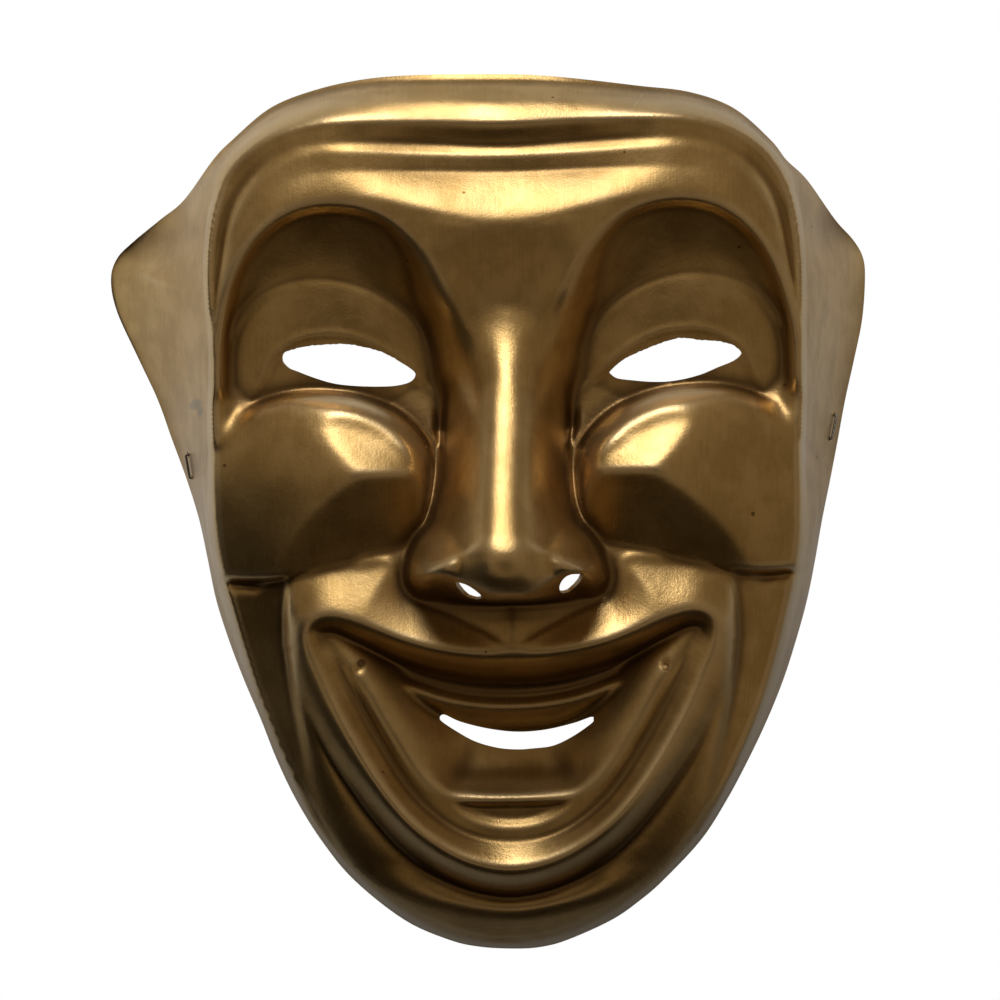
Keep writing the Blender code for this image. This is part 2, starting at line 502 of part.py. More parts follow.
class Form:
    """The outer skin's height over the drawing."""

    def __init__(self):
        self.xs = np.arange(-6.0, 106.0, FIELD_STEP)
        self.ys = np.arange(-118.0, 112.0, FIELD_STEP)
        grid_x, grid_y = np.meshgrid(self.xs, self.ys)
        field = half_face(np.abs(grid_x), grid_y)
        from_root = np.hypot(np.abs(grid_x) - NOSE_ROOT[0], grid_y - NOSE_ROOT[1])
        field = mix(field, blurred(field, ROOT_ROUNDING / FIELD_STEP), smooth((16.0 - from_root) / 9.0))
        self.field = blurred(field, EDGE_ROUNDING / FIELD_STEP)
        self.rim = Guide(OUTLINE, closed=True)
        self.shoulder = closed_half(SHOULDER)

    def face(self, x, y):
        """Height of the face by its half, mirrored over the leaning midline."""
        lean = lookup(y, NOSE_LEAN) * smooth((34.0 - np.abs(x)) / 14.0)
        across = np.abs(x - lookup(y, MIDLINE) - lean)
        column = np.clip((across - self.xs[0]) / FIELD_STEP, 0, len(self.xs) - 1.001)
        row = np.clip((y - self.ys[0]) / FIELD_STEP, 0, len(self.ys) - 1.001)
        i = row.astype(int)
        j = column.astype(int)
        v = row - i
        u = column - j
        low = mix(self.field[i, j], self.field[i, j + 1], u)
        high = mix(self.field[i + 1, j], self.field[i + 1, j + 1], u)
        return mix(low, high, v)

    def height(self, x, y):
        """Height of the whole skin: the face, and the wall and flaps down to the rim."""
        to_rim, _, _ = self.rim.near(x, y)
        across = x - lookup(y, MIDLINE)
        to_shoulder, _, _ = self.shoulder.near(across, y)
        share = share_between(to_rim, to_shoulder)
        flap = smooth((y + 15.0) / 30.0) * smooth((86.0 - y) / 20.0) * smooth((np.abs(x) - 60.0) / 10.0)
        profile = mix(np.sin(share * math.pi / 2), share ** 1.25, flap)
        profile = mix(profile, lookup(share, TOP_WALL), smooth((y - 78.0) / 12.0))
        wall = mix(rim_height(x, y), self.face(x, y), profile)
        return np.where(self.shoulder.holds(across, y), self.face(x, y), wall)


def rim_height(x, y):
    """The rim stands clear of the ground at the top and along the jaw, and touches at flaps and chin."""
    top = TOP_RIM_HEIGHT - TOP_RIM_FALL * smooth((np.abs(x) - 12.0) / 40.0)
    top = top * smooth((y - 60.0) / 30.0)
    jaw_line = JAW_RIM_HEIGHT * np.sin(math.pi * np.clip((42.0 - y) / 150.0, 0.0, 1.0)) ** 1.2
    return np.where(y > 50.0, top, jaw_line)


def moulded(x, y, height):
    """From the drawing to the real place: the form narrows with height by the mould's draft."""
    keep = 1.0 - DRAFT * height
    return np.column_stack([x * keep, y * keep, height])


def evenly(loop, spacing):
    """The closed curve through the loop's points, as points at about the given spacing."""
    line = spline(loop, closed=True)
    line = np.vstack([line, line[:1]])
    lengths = np.concatenate([[0.0], np.cumsum(np.hypot(*np.diff(line, axis=0).T))])
    places = np.linspace(0.0, lengths[-1], max(int(lengths[-1] / spacing), 8), endpoint=False)
    return np.column_stack([np.interp(places, lengths, column) for column in line.T])


def inset(loop, distance):
    """The loop moved inwards."""
    tangent = np.roll(loop, -1, axis=0) - np.roll(loop, 1, axis=0)
    tangent = tangent / np.hypot(*tangent.T)[:, None]
    return loop + distance * np.column_stack([-tangent[:, 1], tangent[:, 0]])


def crisp_rows():
    """Rows of points along the form's crisp edges, on both halves."""
    rows = []
    for guide, inward in CRISP_EDGES:
        line = spline([p[:2] for p in guide])
        lengths = np.concatenate([[0.0], np.cumsum(np.hypot(*np.diff(line, axis=0).T))])
        places = np.arange(0.5, lengths[-1], SHEET_SPACING)
        row = np.column_stack([np.interp(places, lengths, column) for column in line.T])
        tangent = np.gradient(row, axis=0)
        tangent = tangent / np.hypot(*tangent.T)[:, None]
        row = row + inward * np.column_stack([tangent[:, 1], -tangent[:, 0]])
        row = row[row[:, 0] > 0.5]
        lean = lookup(row[:, 1], MIDLINE)
        rows += [np.column_stack([lean + side * row[:, 0], row[:, 1]]) for side in (-1.0, 1.0)]
    return rows


def sheet_plan(rim):
    """The flat sheet's points and faces: the outline with its openings, and closer rows at the rim."""
    outline = evenly(OUTLINE, SHEET_SPACING)
    openings = [evenly(loop, OPENING_SPACING) for loop in (EYE_LEFT, EYE_RIGHT, MOUTH_SLIT)]
    openings += [evenly(loop, NOSTRIL_SPACING) for loop in (NOSTRIL_LEFT, NOSTRIL_RIGHT)]
    rows = [inset(outline, distance) for distance in RIM_ROWS] + crisp_rows()
    step_x = SHEET_SPACING
    step_y = SHEET_SPACING * math.sqrt(0.75)
    low_x, low_y = outline.min(axis=0)
    high_x, high_y = outline.max(axis=0)
    inner = [
        (x + (row % 2) * step_x / 2, y)
        for row, y in enumerate(np.arange(low_y, high_y, step_y))
        for x in np.arange(low_x, high_x, step_x)
    ]
    inner = np.array(inner)
    to_rim, _, _ = rim.near(inner[:, 0], inner[:, 1])
    keep = rim.holds(inner[:, 0], inner[:, 1]) & (np.abs(to_rim) > RIM_ROWS[-1] + 0.5 * SHEET_SPACING)
    for loop in openings:
        to_loop, _, _ = Guide(loop, closed=True).near(inner[:, 0], inner[:, 1])
        keep &= np.abs(to_loop) > 0.6 * SHEET_SPACING
    for row in rows[len(RIM_ROWS):]:
        to_row = np.sqrt(((inner[:, None, :] - row[None, :, :]) ** 2).sum(axis=2).min(axis=1))
        keep &= to_row > 0.6 * SHEET_SPACING
    edges = []
    points = []
    for loop in [outline] + openings:
        start = len(points)
        points += [tuple(p) for p in loop]
        edges += [(start + i, start + (i + 1) % len(loop)) for i in range(len(loop))]
    points += [tuple(p) for row in rows for p in row] + [tuple(p) for p in inner[keep]]
    found = delaunay_2d_cdt([Vector(p) for p in points], edges, [], 1, 1e-5)
    corners = np.array([tuple(p) for p in found[0]])
    faces = [tuple(face) for face in found[2]]
    middle = np.array([corners[list(face)].mean(axis=0) for face in faces])
    wanted = inside_polygon(outline, middle)
    for loop in openings:
        wanted &= ~inside_polygon(loop, middle)
    return corners, [face for face, keep_it in zip(faces, wanted) if keep_it]


def material(name, colour, roughness, metallic):
    made = bpy.data.materials.new(name)
    made.use_nodes = True
    shader = made.node_tree.nodes["Principled BSDF"]
    shader.inputs["Base Color"].default_value = colour
    shader.inputs["Roughness"].default_value = roughness
    shader.inputs["Metallic"].default_value = metallic
    return made


def placed(name, data, surface, collection):
    """A new object with its material, in the given collection."""
    made = bpy.data.objects.new(name, data)
    if surface:
        data.materials.append(surface)
    collection.objects.link(made)
    return made


def evaluated_mesh(source):
    """The object's mesh with its modifiers applied, in place of the object."""
    graph = bpy.context.evaluated_depsgraph_get()
    graph.update()
    mesh = bpy.data.meshes.new_from_object(source.evaluated_get(graph))
    bpy.data.objects.remove(source)
    return mesh


def unit_rows(rows):
    return rows / np.maximum(np.linalg.norm(rows, axis=1), 1e-9)[:, None]


def facing(points, faces):
    """The way each face looks, as long as twice its area."""
    corners = points[faces]
    return np.cross(corners[:, 1] - corners[:, 0], corners[:, 2] - corners[:, 0])


def with_neighbours(rows, faces):
    """Each point's row with those of its neighbours added, and how many rows went in."""
    total = rows.copy()
    count = np.ones(len(rows))
    for corner in range(3):
        for other in (corner - 1, corner - 2):
            np.add.at(total, faces[:, corner], rows[faces[:, other]])
            np.add.at(count, faces[:, corner], 1.0)
    return total, count


def skin_directions(points, faces):
    """Outward directions at the skin's points, evened out over their neighbours."""
    directions = np.zeros_like(points)
    for corner in range(3):
        np.add.at(directions, faces[:, corner], facing(points, faces))
    for _ in range(WALL_EVENING_ROUNDS):
        directions, _ = with_neighbours(unit_rows(directions), faces)
    return unit_rows(directions)


def crossed(inner, points, faces):
    """The inner skin's faces that cross each other or poke out through the skin."""
    listed = faces.tolist()
    inside = BVHTree.FromPolygons(inner.tolist(), listed)
    outside = BVHTree.FromPolygons(points.tolist(), listed)
    own = [a for a, b in inside.overlap(inside) if not set(listed[a]) & set(listed[b])]
    return own + [a for a, _ in inside.overlap(outside)]


def unfolded(inner, points, faces, fixed):
    """The inner skin, eased where it folds or crosses itself behind a sharp ridge."""
    outer_facing = facing(points, faces)
    for _ in range(FOLD_EASING_ROUNDS):
        agreement = (facing(inner, faces) * outer_facing).sum(axis=1)
        folded = agreement < FOLDED * (outer_facing ** 2).sum(axis=1)
        folded[crossed(inner, points, faces)] = True
        touched = np.zeros(len(inner), bool)
        touched[faces[folded].ravel()] = True
        total, count = with_neighbours(inner, faces)
        eased = total / count[:, None]
        inner = np.where((touched & ~fixed)[:, None], eased, inner)
    return inner


def border_edges(faces):
    """The edges that only one face uses, each in that face's order."""
    edges = {(int(face[i]), int(face[(i + 1) % 3])) for face in faces for i in range(3)}
    return [edge for edge in edges if edge[::-1] not in edges]


def distance_to_rim(points, rim):
    """Each real point's distance to the rim in the drawing."""
    keep = 1.0 - DRAFT * points[:, 2]
    distance, _, _ = rim.near(points[:, 0] / keep, points[:, 1] / keep)
    return np.abs(distance)


def walled(points, faces, rim):
    """The open skin, an inner skin one wall behind it, and the edges that join the two."""
    to_rim = distance_to_rim(points, rim)
    on_border = np.zeros(len(points), bool)
    on_border[np.array(border_edges(faces)).ravel()] = True
    on_rim = on_border & (to_rim < ON_RIM)
    faces = faces[~on_rim[faces].all(axis=1)]
    points[:, 2] = np.where(on_rim & (points[:, 2] < ON_GROUND), 0.0, np.maximum(points[:, 2], 0.0))
    directions = skin_directions(points, faces)
    directions[:, 2] *= smooth((to_rim - 1.0) / RIM_BAND)
    inner = unfolded(points - WALL * unit_rows(directions), points, faces, on_border)
    count = len(points)
    closing = [(b, a, a + count, b + count) for a, b in border_edges(faces)]
    both = np.vstack([points, inner])
    return both, faces.tolist() + (faces[:, ::-1] + count).tolist() + closing


def mesh_of(name, points, faces):
    """A mesh from real places in mm, without points that no face uses."""
    used = np.unique([i for face in faces for i in face])
    place = np.zeros(len(points), int)
    place[used] = np.arange(len(used))
    mesh = bpy.data.meshes.new(name)
    mesh.from_pydata((points[used] * MM).tolist(), [], [place[list(face)].tolist() for face in faces])
    return mesh


def shell_mesh(form, workbench):
    """The skin as an open sheet, thinned to fewer triangles and given the wall's thickness."""
    plan, faces = sheet_plan(form.rim)
    heights = form.height(plan[:, 0], plan[:, 1])
    skin = mesh_of("skin", moulded(plan[:, 0], plan[:, 1], heights), faces)
    sheet = placed("skin", skin, None, workbench)
    thin = sheet.modifiers.new("Fewer triangles", "DECIMATE")
    thin.ratio = SHELL_TRIANGLES / len(faces)
    thinned = evaluated_mesh(sheet)
    points = np.array([tuple(v.co) for v in thinned.vertices]) / MM
    triangles = np.array([tuple(p.vertices) for p in thinned.polygons])
    points, faces = walled(points, triangles, form.rim)
    return mesh_of("mask_shell", points, faces)


def surface_frame(form, place):
    """The skin's real place and outward direction at a point of the drawing, in mm."""
    step = 0.5
    x, y = place
    xs = np.array([x, x + step, x])
    ys = np.array([y, y, y + step])
    here, right, up = moulded(xs, ys, form.height(xs, ys))
    outward = Vector(right - here).cross(Vector(up - here)).normalized()
    return Vector(here), outward


def rounded_path(corners, radius):
    """The path with each inner corner cut into three points."""
    path = [corners[0]]
    for before, corner, after in zip(corners, corners[1:], corners[2:]):
        start = corner + (before - corner).normalized() * radius
        end = corner + (after - corner).normalized() * radius
        path += [start, (start + end) * 0.25 + corner * 0.5, end]
    return path + [corners[-1]]


def staple(form, name, surface, collection, workbench, shell):
    """A staple through the flap: its crown outside, its legs bent over inside, each leg in a hole."""
    (first, out_first), (second, out_second) = (surface_frame(form, end) for end in STAPLE_ENDS[name])
    outward = (out_first + out_second).normalized()
    along = (second - first).normalized()
    above = outward * (STAPLE_GAP + WIRE_RADIUS)
    below = outward * (-WALL - STAPLE_GAP - WIRE_RADIUS)
    leg = along * STAPLE_LEG
    corners = [first + below + leg, first + below, first + above]
    corners += [second + above, second + below, second + below - leg]
    path = rounded_path(corners, STAPLE_BEND)
    curve = bpy.data.curves.new(name, "CURVE")
    curve.dimensions = "3D"
    curve.bevel_depth = WIRE_RADIUS * MM
    curve.bevel_resolution = 1
    curve.use_fill_caps = True
    wire = curve.splines.new("POLY")
    wire.points.add(len(path) - 1)
    for point, place in zip(wire.points, path):
        point.co = (*(place * MM), 1.0)
    made = placed(name, curve, surface, collection)
    for number, foot in enumerate((first, second)):
        bm = bmesh.new()
        bmesh.ops.create_cone(bm, cap_ends=True, segments=10, radius1=LEG_HOLE_RADIUS * MM,
                              radius2=LEG_HOLE_RADIUS * MM, depth=LEG_DRILL_DEPTH * MM)
        drill_mesh = bpy.data.meshes.new(f"{name}_drill_{number}")
        bm.to_mesh(drill_mesh)
        bm.free()
        drill = placed(drill_mesh.name, drill_mesh, None, workbench)
        turned = outward.to_track_quat("Z", "Y").to_matrix().to_4x4()
        drill.matrix_world = Matrix.Translation(foot * MM) @ turned
        drill.hide_render = True
        drill.display_type = "WIRE"
        cut = shell.modifiers.new(f"Hole for {name} leg {number + 1}", "BOOLEAN")
        cut.operation = "DIFFERENCE"
        cut.object = drill
    return made


def collection_named(name):
    made = bpy.data.collections.new(name)
    bpy.context.scene.collection.children.link(made)
    return made


def main():
    for old in list(bpy.data.objects):
        bpy.data.objects.remove(old)
    parts = collection_named("Greek theatre mask")
    workbench = collection_named("Cutters")
    form = Form()
    gold = material("Gold paint on plastic", GOLD, 0.34, 0.85)
    grey = material("Staple wire", WIRE_GREY, 0.4, 1.0)
    shell = placed("mask_shell", shell_mesh(form, workbench), gold, parts)
    for name in STAPLE_ENDS:
        staple(form, name, grey, parts, workbench, shell)
    corners = np.array([tuple(v.co) for v in shell.data.vertices])
    middle = (corners.min(axis=0) + corners.max(axis=0)) / 2
    for made in list(parts.objects) + list(workbench.objects):
        made.location.x -= middle[0]
        made.location.y -= middle[1]


main()
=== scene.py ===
"""Laughing comedy theatre mask: the finished gold shell and its wire staples, lying on a pale floor.

The mask lies on its rim, face up: +Z is the way the face looks and +Y is towards the forehead.

The face is drawn flat, in millimetres, as guide curves with heights. Most curves are drawn for one half
of the face and mirrored over a midline that leans a little, as the moulded face does. Each stretch of
surface is lofted between two neighbouring guides, the steep wall and the flaps run from the shoulder
line down to the rim, and the whole form narrows with height by the mould's draft.
"""

import functools
import math

import bpy
import numpy as np
from bpy.props import FloatProperty, FloatVectorProperty, PointerProperty
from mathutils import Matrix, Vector
from mathutils.geometry import delaunay_2d_cdt


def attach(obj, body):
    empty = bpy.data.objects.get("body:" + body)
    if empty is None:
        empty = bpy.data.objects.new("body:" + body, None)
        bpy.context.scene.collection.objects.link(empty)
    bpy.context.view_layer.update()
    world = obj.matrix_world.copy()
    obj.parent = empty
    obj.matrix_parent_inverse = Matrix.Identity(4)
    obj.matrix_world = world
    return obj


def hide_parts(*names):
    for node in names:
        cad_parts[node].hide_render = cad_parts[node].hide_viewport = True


bl_info = {
    "name": "Comedy theatre mask",
    "version": (1, 0, 0),
    "blender": (4, 5, 0),
    "location": "View3D > Sidebar > Mask",
    "description": "Builds a gold comedy theatre mask with its wire staples, and a pale studio round it",
    "category": "Object",
}

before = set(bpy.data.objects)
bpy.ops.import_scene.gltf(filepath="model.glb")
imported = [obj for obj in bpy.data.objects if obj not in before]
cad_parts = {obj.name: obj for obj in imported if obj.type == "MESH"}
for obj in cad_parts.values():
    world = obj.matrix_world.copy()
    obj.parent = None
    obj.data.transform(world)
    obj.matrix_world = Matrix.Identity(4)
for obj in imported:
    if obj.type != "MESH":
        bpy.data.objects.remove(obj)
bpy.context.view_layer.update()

MM = 0.001
DRAFT = 1.0 / 1600.0
FIELD_STEP = 0.4
EDGE_ROUNDING = 0.5
GUIDE_ROUNDING = 1.0
EDGE_SPACING = 0.7
RIM_ROWS = (0.3, 0.65, 1.05, 1.5)
BACK_SPACING = 1.6
WALL_EVENING_ROUNDS = 12
RIM_BAND = 4.0

CHEEK_APEX = (36.6, 7.1, 68.0)
CHEEK_UPPER_SLOPE = 0.62
CHEEK_LOWER_SLOPE = 0.50
CHEEK_LIMB_SLOPE = 2.2
CHEEK_LIMB = 2.5
CHEEK_BAND = 6.5
EYEBALL_HEIGHT = 49.2
BROW_OVERHANG = 0.6
LID_STEP = 0.1
LEDGE_DROP = 2.0
CHIN_ROLL_RISE = 2.2
MOUTH_FLOOR_HEIGHT = 47.2
TEETH_RISE = 5.8
TEETH_LINE_RISE = 0.9
RECESS_DEPTH = 1.4
DIMPLE = (38.4, -41.6)
DIMPLE_DEPTH = 0.8
GROUND_HEIGHT = 46.0
PHILTRUM_RISE = 7.0
TOP_RIM_HEIGHT = 43.0
TOP_RIM_FALL = 6.0
JAW_RIM_HEIGHT = 11.0
RIDGE_HALF_WIDTH = 3.4
RIDGE_ROUNDING = 2.6
NOSE_BRIM = 7.0
NOSE_ROOT = (8.0, 39.0)
ROOT_ROUNDING = 2.6
SOCKET_CORNER = (70.5, 21.0)
LIP_ROUNDING = 1.1
DENT_CENTRE = (0.9, -61.5)
DENT_RADIUS = 20.5
DENT_TOP = -75.4
DENT_DEPTH = 1.6
DENT_WALL = 2.4

VIEW_CENTRE_X = -3.0
VIEW_DISTANCE = 1600.0
VIEW_WIDTH = 250.0
VIEW_ROLL = math.radians(-1.0)
FLOOR_DROP = 0.0003

WIRE_RADIUS = 0.3
STAPLE_GAP = 0.3
STAPLE_BEND = 0.35
STAPLE_LEG = 2.0
LEG_HOLE_RADIUS = 0.65
# Spots on the paint, each as (x, y, turn in degrees, half length, half width). The first two dark spots are
# painted shade in the dimples at the mouth corners; the other spots and the smudges are marks in the paint.
DARK_SPOTS = [
    (-38.5, -40.2, 0, 1.1, 1.0), (37.5, -42.4, 0, 1.0, 0.9), (57.8, 62.2, 0, 0.4, 0.3),
    (68.6, 27.5, 0, 0.4, 0.3), (-10.8, 77.0, 0, 0.4, 0.3), (29.5, 86.4, 0, 0.3, 0.3),
    (-71.8, 9.8, 0, 0.4, 0.4),
]
PALE_SPOTS = [
    (32.6, 98.4, 58, 1.4, 0.14), (34.0, 100.4, 58, 0.7, 0.12), (-33.8, 77.4, 10, 1.8, 0.13),
    (-21.3, 13.6, 0, 0.3, 0.3),
]
SMUDGES = [(-78.8, 25.2, 20, 1.8, 1.2), (-77.6, 23.4, 80, 1.2, 0.8)]
# How far around each point the paint's two measures of hollowness look, in rounds of smoothing. The paint
# uses them for painted shade in hollows and grooves, and for ridges painted paler, partly as a painted
# highlight.
CREASE_ROUNDS = {"crease": (2, 3), "hollow": (3, 40)}
STAPLE_ENDS = {
    "staple_left": ((-80.8, 12.7), (-79.9, 6.9)),
    "staple_right": ((80.9, 19.8), (79.6, 13.9)),
}

# The midline's sideways place and, near the nose, its extra lean: (height up the face, place).
MIDLINE = [
    (-112, -2.3), (-97, -1.9), (-78, -1.3), (-50, -0.8), (-18, -1.0), (7, -1.3), (36, -0.6), (60, -1.0),
    (106, -0.8),
]
NOSE_LEAN = [(-40, 0.0), (-28, 0.3), (-15, -1.3), (20, -0.2), (45, 0.0)]

# The rim, all round, as (x, y).
OUTLINE = [
    (0.1, 106.4), (-21.1, 106.6), (-34.9, 105.8), (-47.5, 103.3), (-58.8, 99.0), (-68.4, 91.2),
    (-73.3, 86.3), (-80.7, 76.4), (-86.8, 71.5), (-93.6, 66.1), (-97.7, 62.0), (-99.3, 56.7),
    (-97.9, 48.7), (-92.6, 36.6), (-88.1, 26.5), (-84.7, 16.5), (-81.2, 6.4), (-78.3, -3.6),
    (-76.3, -13.7), (-74.4, -23.7), (-71.4, -33.8), (-67.8, -43.8), (-63.7, -53.9), (-59.9, -64.0),
    (-55.3, -74.0), (-49.2, -84.2), (-41.2, -94.3), (-28.8, -104.5), (-17.7, -109.7), (-9.9, -111.6),
    (-1.2, -112.2), (5.3, -111.9), (12.1, -110.2), (23.2, -105.4), (30.5, -100.5), (36.3, -95.6),
    (45.8, -85.8), (52.4, -75.9), (57.9, -66.0), (62.8, -56.1), (67.0, -46.2), (70.4, -36.2),
    (73.3, -26.3), (75.5, -16.3), (77.4, -6.4), (79.6, 3.6), (81.7, 13.6), (83.7, 23.5), (86.1, 33.5),
    (88.3, 43.5), (89.2, 53.5), (88.8, 59.0), (86.4, 63.5), (82.0, 68.6), (75.1, 78.7), (70.0, 83.8),
    (66.1, 88.9), (57.0, 97.0), (46.0, 101.2), (33.8, 102.9), (21.3, 104.6), (10.6, 105.8),
]

# The openings, each a closed loop of (x, y).
EYE_LEFT = [
    (-23.8, 31.2), (-24.2, 32.7), (-28.0, 35.4), (-32.2, 37.6), (-36.4, 38.8), (-42.0, 39.7),
    (-49.0, 39.4), (-53.2, 38.8), (-56.4, 37.7), (-56.8, 35.6), (-55.4, 34.0), (-53.3, 33.1),
    (-49.1, 31.4), (-44.3, 29.9), (-39.4, 29.2), (-33.8, 28.9), (-28.9, 29.0), (-25.3, 29.8),
]
EYE_RIGHT = [
    (25.0, 31.7), (28.3, 34.5), (32.6, 36.5), (36.8, 38.2), (41.0, 39.4), (43.8, 39.7), (48.0, 39.1),
    (52.2, 38.7), (55.7, 37.8), (57.6, 36.4), (57.9, 35.3), (56.0, 33.8), (52.1, 32.3), (47.9, 30.6),
    (43.7, 29.5), (39.4, 28.9), (35.2, 28.9), (31.0, 29.3), (26.8, 29.9), (25.2, 30.9),
]
MOUTH_SLIT = [
    (-17.6, -53.5), (-13.8, -55.3), (-6.9, -57.1), (0.2, -58.0), (7.2, -57.6), (14.2, -56.1),
    (18.8, -54.6), (19.3, -55.2), (18.8, -56.2), (14.2, -59.3), (9.2, -61.6), (4.3, -62.2),
    (0.1, -62.4), (-4.8, -61.9), (-10.4, -60.2), (-15.3, -57.4), (-18.7, -55.0), (-19.1, -54.1),
    (-18.7, -53.5),
]
NOSTRIL_LEFT = [
    (-14.6, -20.5), (-12.1, -21.0), (-9.6, -22.6), (-8.2, -24.1), (-9.4, -24.8), (-11.9, -24.0),
    (-13.6, -22.5),
]
NOSTRIL_RIGHT = [
    (17.4, -18.9), (14.9, -18.8), (12.7, -19.7), (11.4, -21.7), (11.8, -23.5), (13.8, -23.2),
    (16.1, -21.3),
]

# Guides of one half of the face as (distance from the midline, y, height).
SHOULDER = [
    (0, 94.5, 55.5), (20, 95.2, 54.6), (40, 95.4, 54.4), (50, 94.2, 52.9), (58, 91.5, 51),
    (64, 87.6, 49.4), (68.4, 82.5, 48.0), (71.4, 76.5, 48.0), (73.2, 69, 48.8), (74.0, 60, 49.6),
    (74.0, 50, 50.2), (73.7, 40, 50.5), (73.6, 25, 50.5), (73.5, 10, 50), (73.4, 0, 49.5),
    (72.8, -8.7, 48.5), (71.2, -17.5, 47.5), (69, -25.6, 47), (66.6, -35, 46.4), (63.8, -45, 46.4),
    (60.6, -54.6, 46.6), (56.5, -64.6, 47.0), (51.8, -74.6, 46.9), (46.2, -84, 46.2), (38, -93.2, 45.0),
    (28.8, -100.8, 43.4), (20, -106, 42.2), (10.4, -109.3, 41.4), (0, -110.6, 41),
]
FOREHEAD_GROOVE = [
    (0, 88.6, 53.5), (20, 89.4, 52.8), (40, 90.4, 54.6), (50, 90.2, 53.2), (58, 87.6, 51.2),
    (63.6, 83.4, 49.4), (67.4, 78.0, 48.4), (70.0, 71, 48.2), (71.7, 62, 48.4), (72.8, 52, 49.6),
]
FOREHEAD_FOLD = [
    (0, 86.3, 54.9), (20, 87.1, 54.6), (38, 88.0, 55.8), (48, 87.6, 54.7), (55.2, 85.2, 53.4),
    (60.6, 81.4, 52.5), (64.8, 76.2, 51.8), (68.0, 69.6, 51.3), (70.6, 61, 50.2), (72.3, 51, 50.6),
]
FOREHEAD_FOOT = [
    (0, 82, 54.9), (20, 82.3, 54.9), (38, 82.9, 56.6), (48, 82.4, 55.6), (54.6, 80.4, 54.7),
    (59.6, 77.4, 53.8), (63.8, 73.0, 52.9), (67.2, 67.0, 52.2), (69.8, 59, 51.8), (71.9, 49, 51.4),
]
FOREHEAD_CREST = [
    (0, 69.5, 62.3), (10, 70.6, 62.1), (20, 73.0, 61.2), (32, 75.6, 59.6), (44, 76.2, 58.0),
    (54, 73.8, 56.6), (61.5, 67.6, 55.2), (67, 58.5, 53.6), (70, 50, 52.3), (71.6, 42, 51.5),
]
BROW_EDGE = [
    (6.4, 24, 50), (7.5, 37.9, 55.6), (9.3, 45.7, 57.5), (12.4, 53.1, 59.2), (16.5, 60.0, 60.2),
    (21.9, 66.0, 60.2), (28.4, 70.7, 59.4), (35.7, 73.8, 58.4), (43.7, 74.9, 57.4), (51.6, 73.7, 56.3),
    (58.6, 70.0, 55.2),
    (64.2, 64.3, 54.0), (68.1, 57.3, 52.9), (70.5, 49.7, 52.0), (71.6, 41.7, 51.4), (72.1, 33.6, 51),
    (72.2, 25.6, 51), (72.2, 15, 51),
]
LID_FOOT = [
    (16.0, 18, 45.2), (16.2, 29.3, 45.4), (17.9, 36.5, 46.0), (21.4, 43.1, 47.1), (26.4, 48.6, 47.8),
    (32.6, 52.7, 48.3), (39.5, 55.3, 48.5), (46.9, 56.4, 48.4), (54.2, 55.6, 48.1), (61.1, 52.8, 47.7),
    (66.6, 47.9, 47.3), (70.2, 41.3, 47.1), (71.5, 34, 47.2), (71.8, 20, 48.5),
]
LASH_LINE = [
    (20.5, 29.0), (23.5, 32.5), (27.4, 35.8), (31.6, 38.6), (36.1, 40.8), (41.0, 42.1), (46.1, 42.4),
    (51.1, 41.7), (55.7, 39.8), (59.5, 36.5), (61, 33),
]
CHEEK_RIM = [
    (24, -14), (21.5, -6), (20.0, 0.5), (19.9, 7.5), (21.0, 12.9), (24.3, 17.5), (28.6, 21.0),
    (33.7, 23.6), (39.0, 25.3), (44.6, 26.1), (50.2, 26.3), (55.8, 25.6), (61.1, 23.8), (65.9, 20.9),
    (70.0, 17.0), (74, 12),
]
NOSE_FOOT = [
    (0, 49.5, 58.8), (3.2, 48.8, 58.7), (6.4, 45.6, 57.6), (10.0, 41, 54.6), (13.4, 35, 50.0),
    (15.2, 27.5, 47.6), (15.6, 19.8, 47.8), (16.1, 12.2, 49.3), (17.3, 4.8, 51), (19.6, -2.5, 52.4),
    (22.9, -9.3, 55.4), (25.8, -16.3, 57.8), (25.2, -21.5, 58.8), (21.5, -24.4, 59.4),
    (16.5, -24.7, 61.0), (12, -24.6, 65.6), (7, -26.0, 70.0), (0, -27.3, 70.2),
]
NOSE_EDGE = [
    (0, -25.4), (2.4, -25.0), (5.9, -23.8), (10.1, -21.3), (14.1, -18.8), (18.3, -17.9), (22.6, -18.9),
    (26.0, -21.8),
]
LEDGE = [(52, -17.6), (58.8, -18.4), (64.4, -18.7), (70, -18.2), (76, -17.5)]
JAW_FOLD = [
    (56.2, -14, 54), (56.2, -25, 54), (55.8, -36.5, 53), (55.0, -48, 52), (53.2, -59.2, 51),
    (50.6, -70.3, 50), (46.4, -81, 48.6), (40.5, -90.8, 47), (32.4, -98.9, 45.6), (22.4, -104.6, 44.8),
    (11.4, -107.6, 44.3), (0, -108.6, 44.2), (-11.4, -107.6, 44.3),
]
LIPS_FOOT = [
    (0, -36.6, 65.4), (6, -33.8, 63.4), (12, -30.6, 61.6), (18, -27.8, 59.6), (24, -25.2, 58.4),
    (26.8, -21.5, 58.2), (27.6, -17.0, 58.0), (30.4, -13.8, 57.6), (37, -14.5, 57.2), (43, -15.2, 56.5),
    (48, -16.2, 56.3), (52.5, -18.8, 56.2), (55.4, -23.5, 56.2), (56.3, -30, 56.2), (56.0, -36, 56.0),
    (54.3, -44.5, 55.8), (50.6, -54, 55.6), (46, -63, 55.2), (40.5, -71.5, 54.6), (34.5, -79.5, 53.8),
    (27.5, -87, 52.6), (19.5, -93, 51.4), (9.8, -97.3, 50.4), (0, -99, 50.0),
]
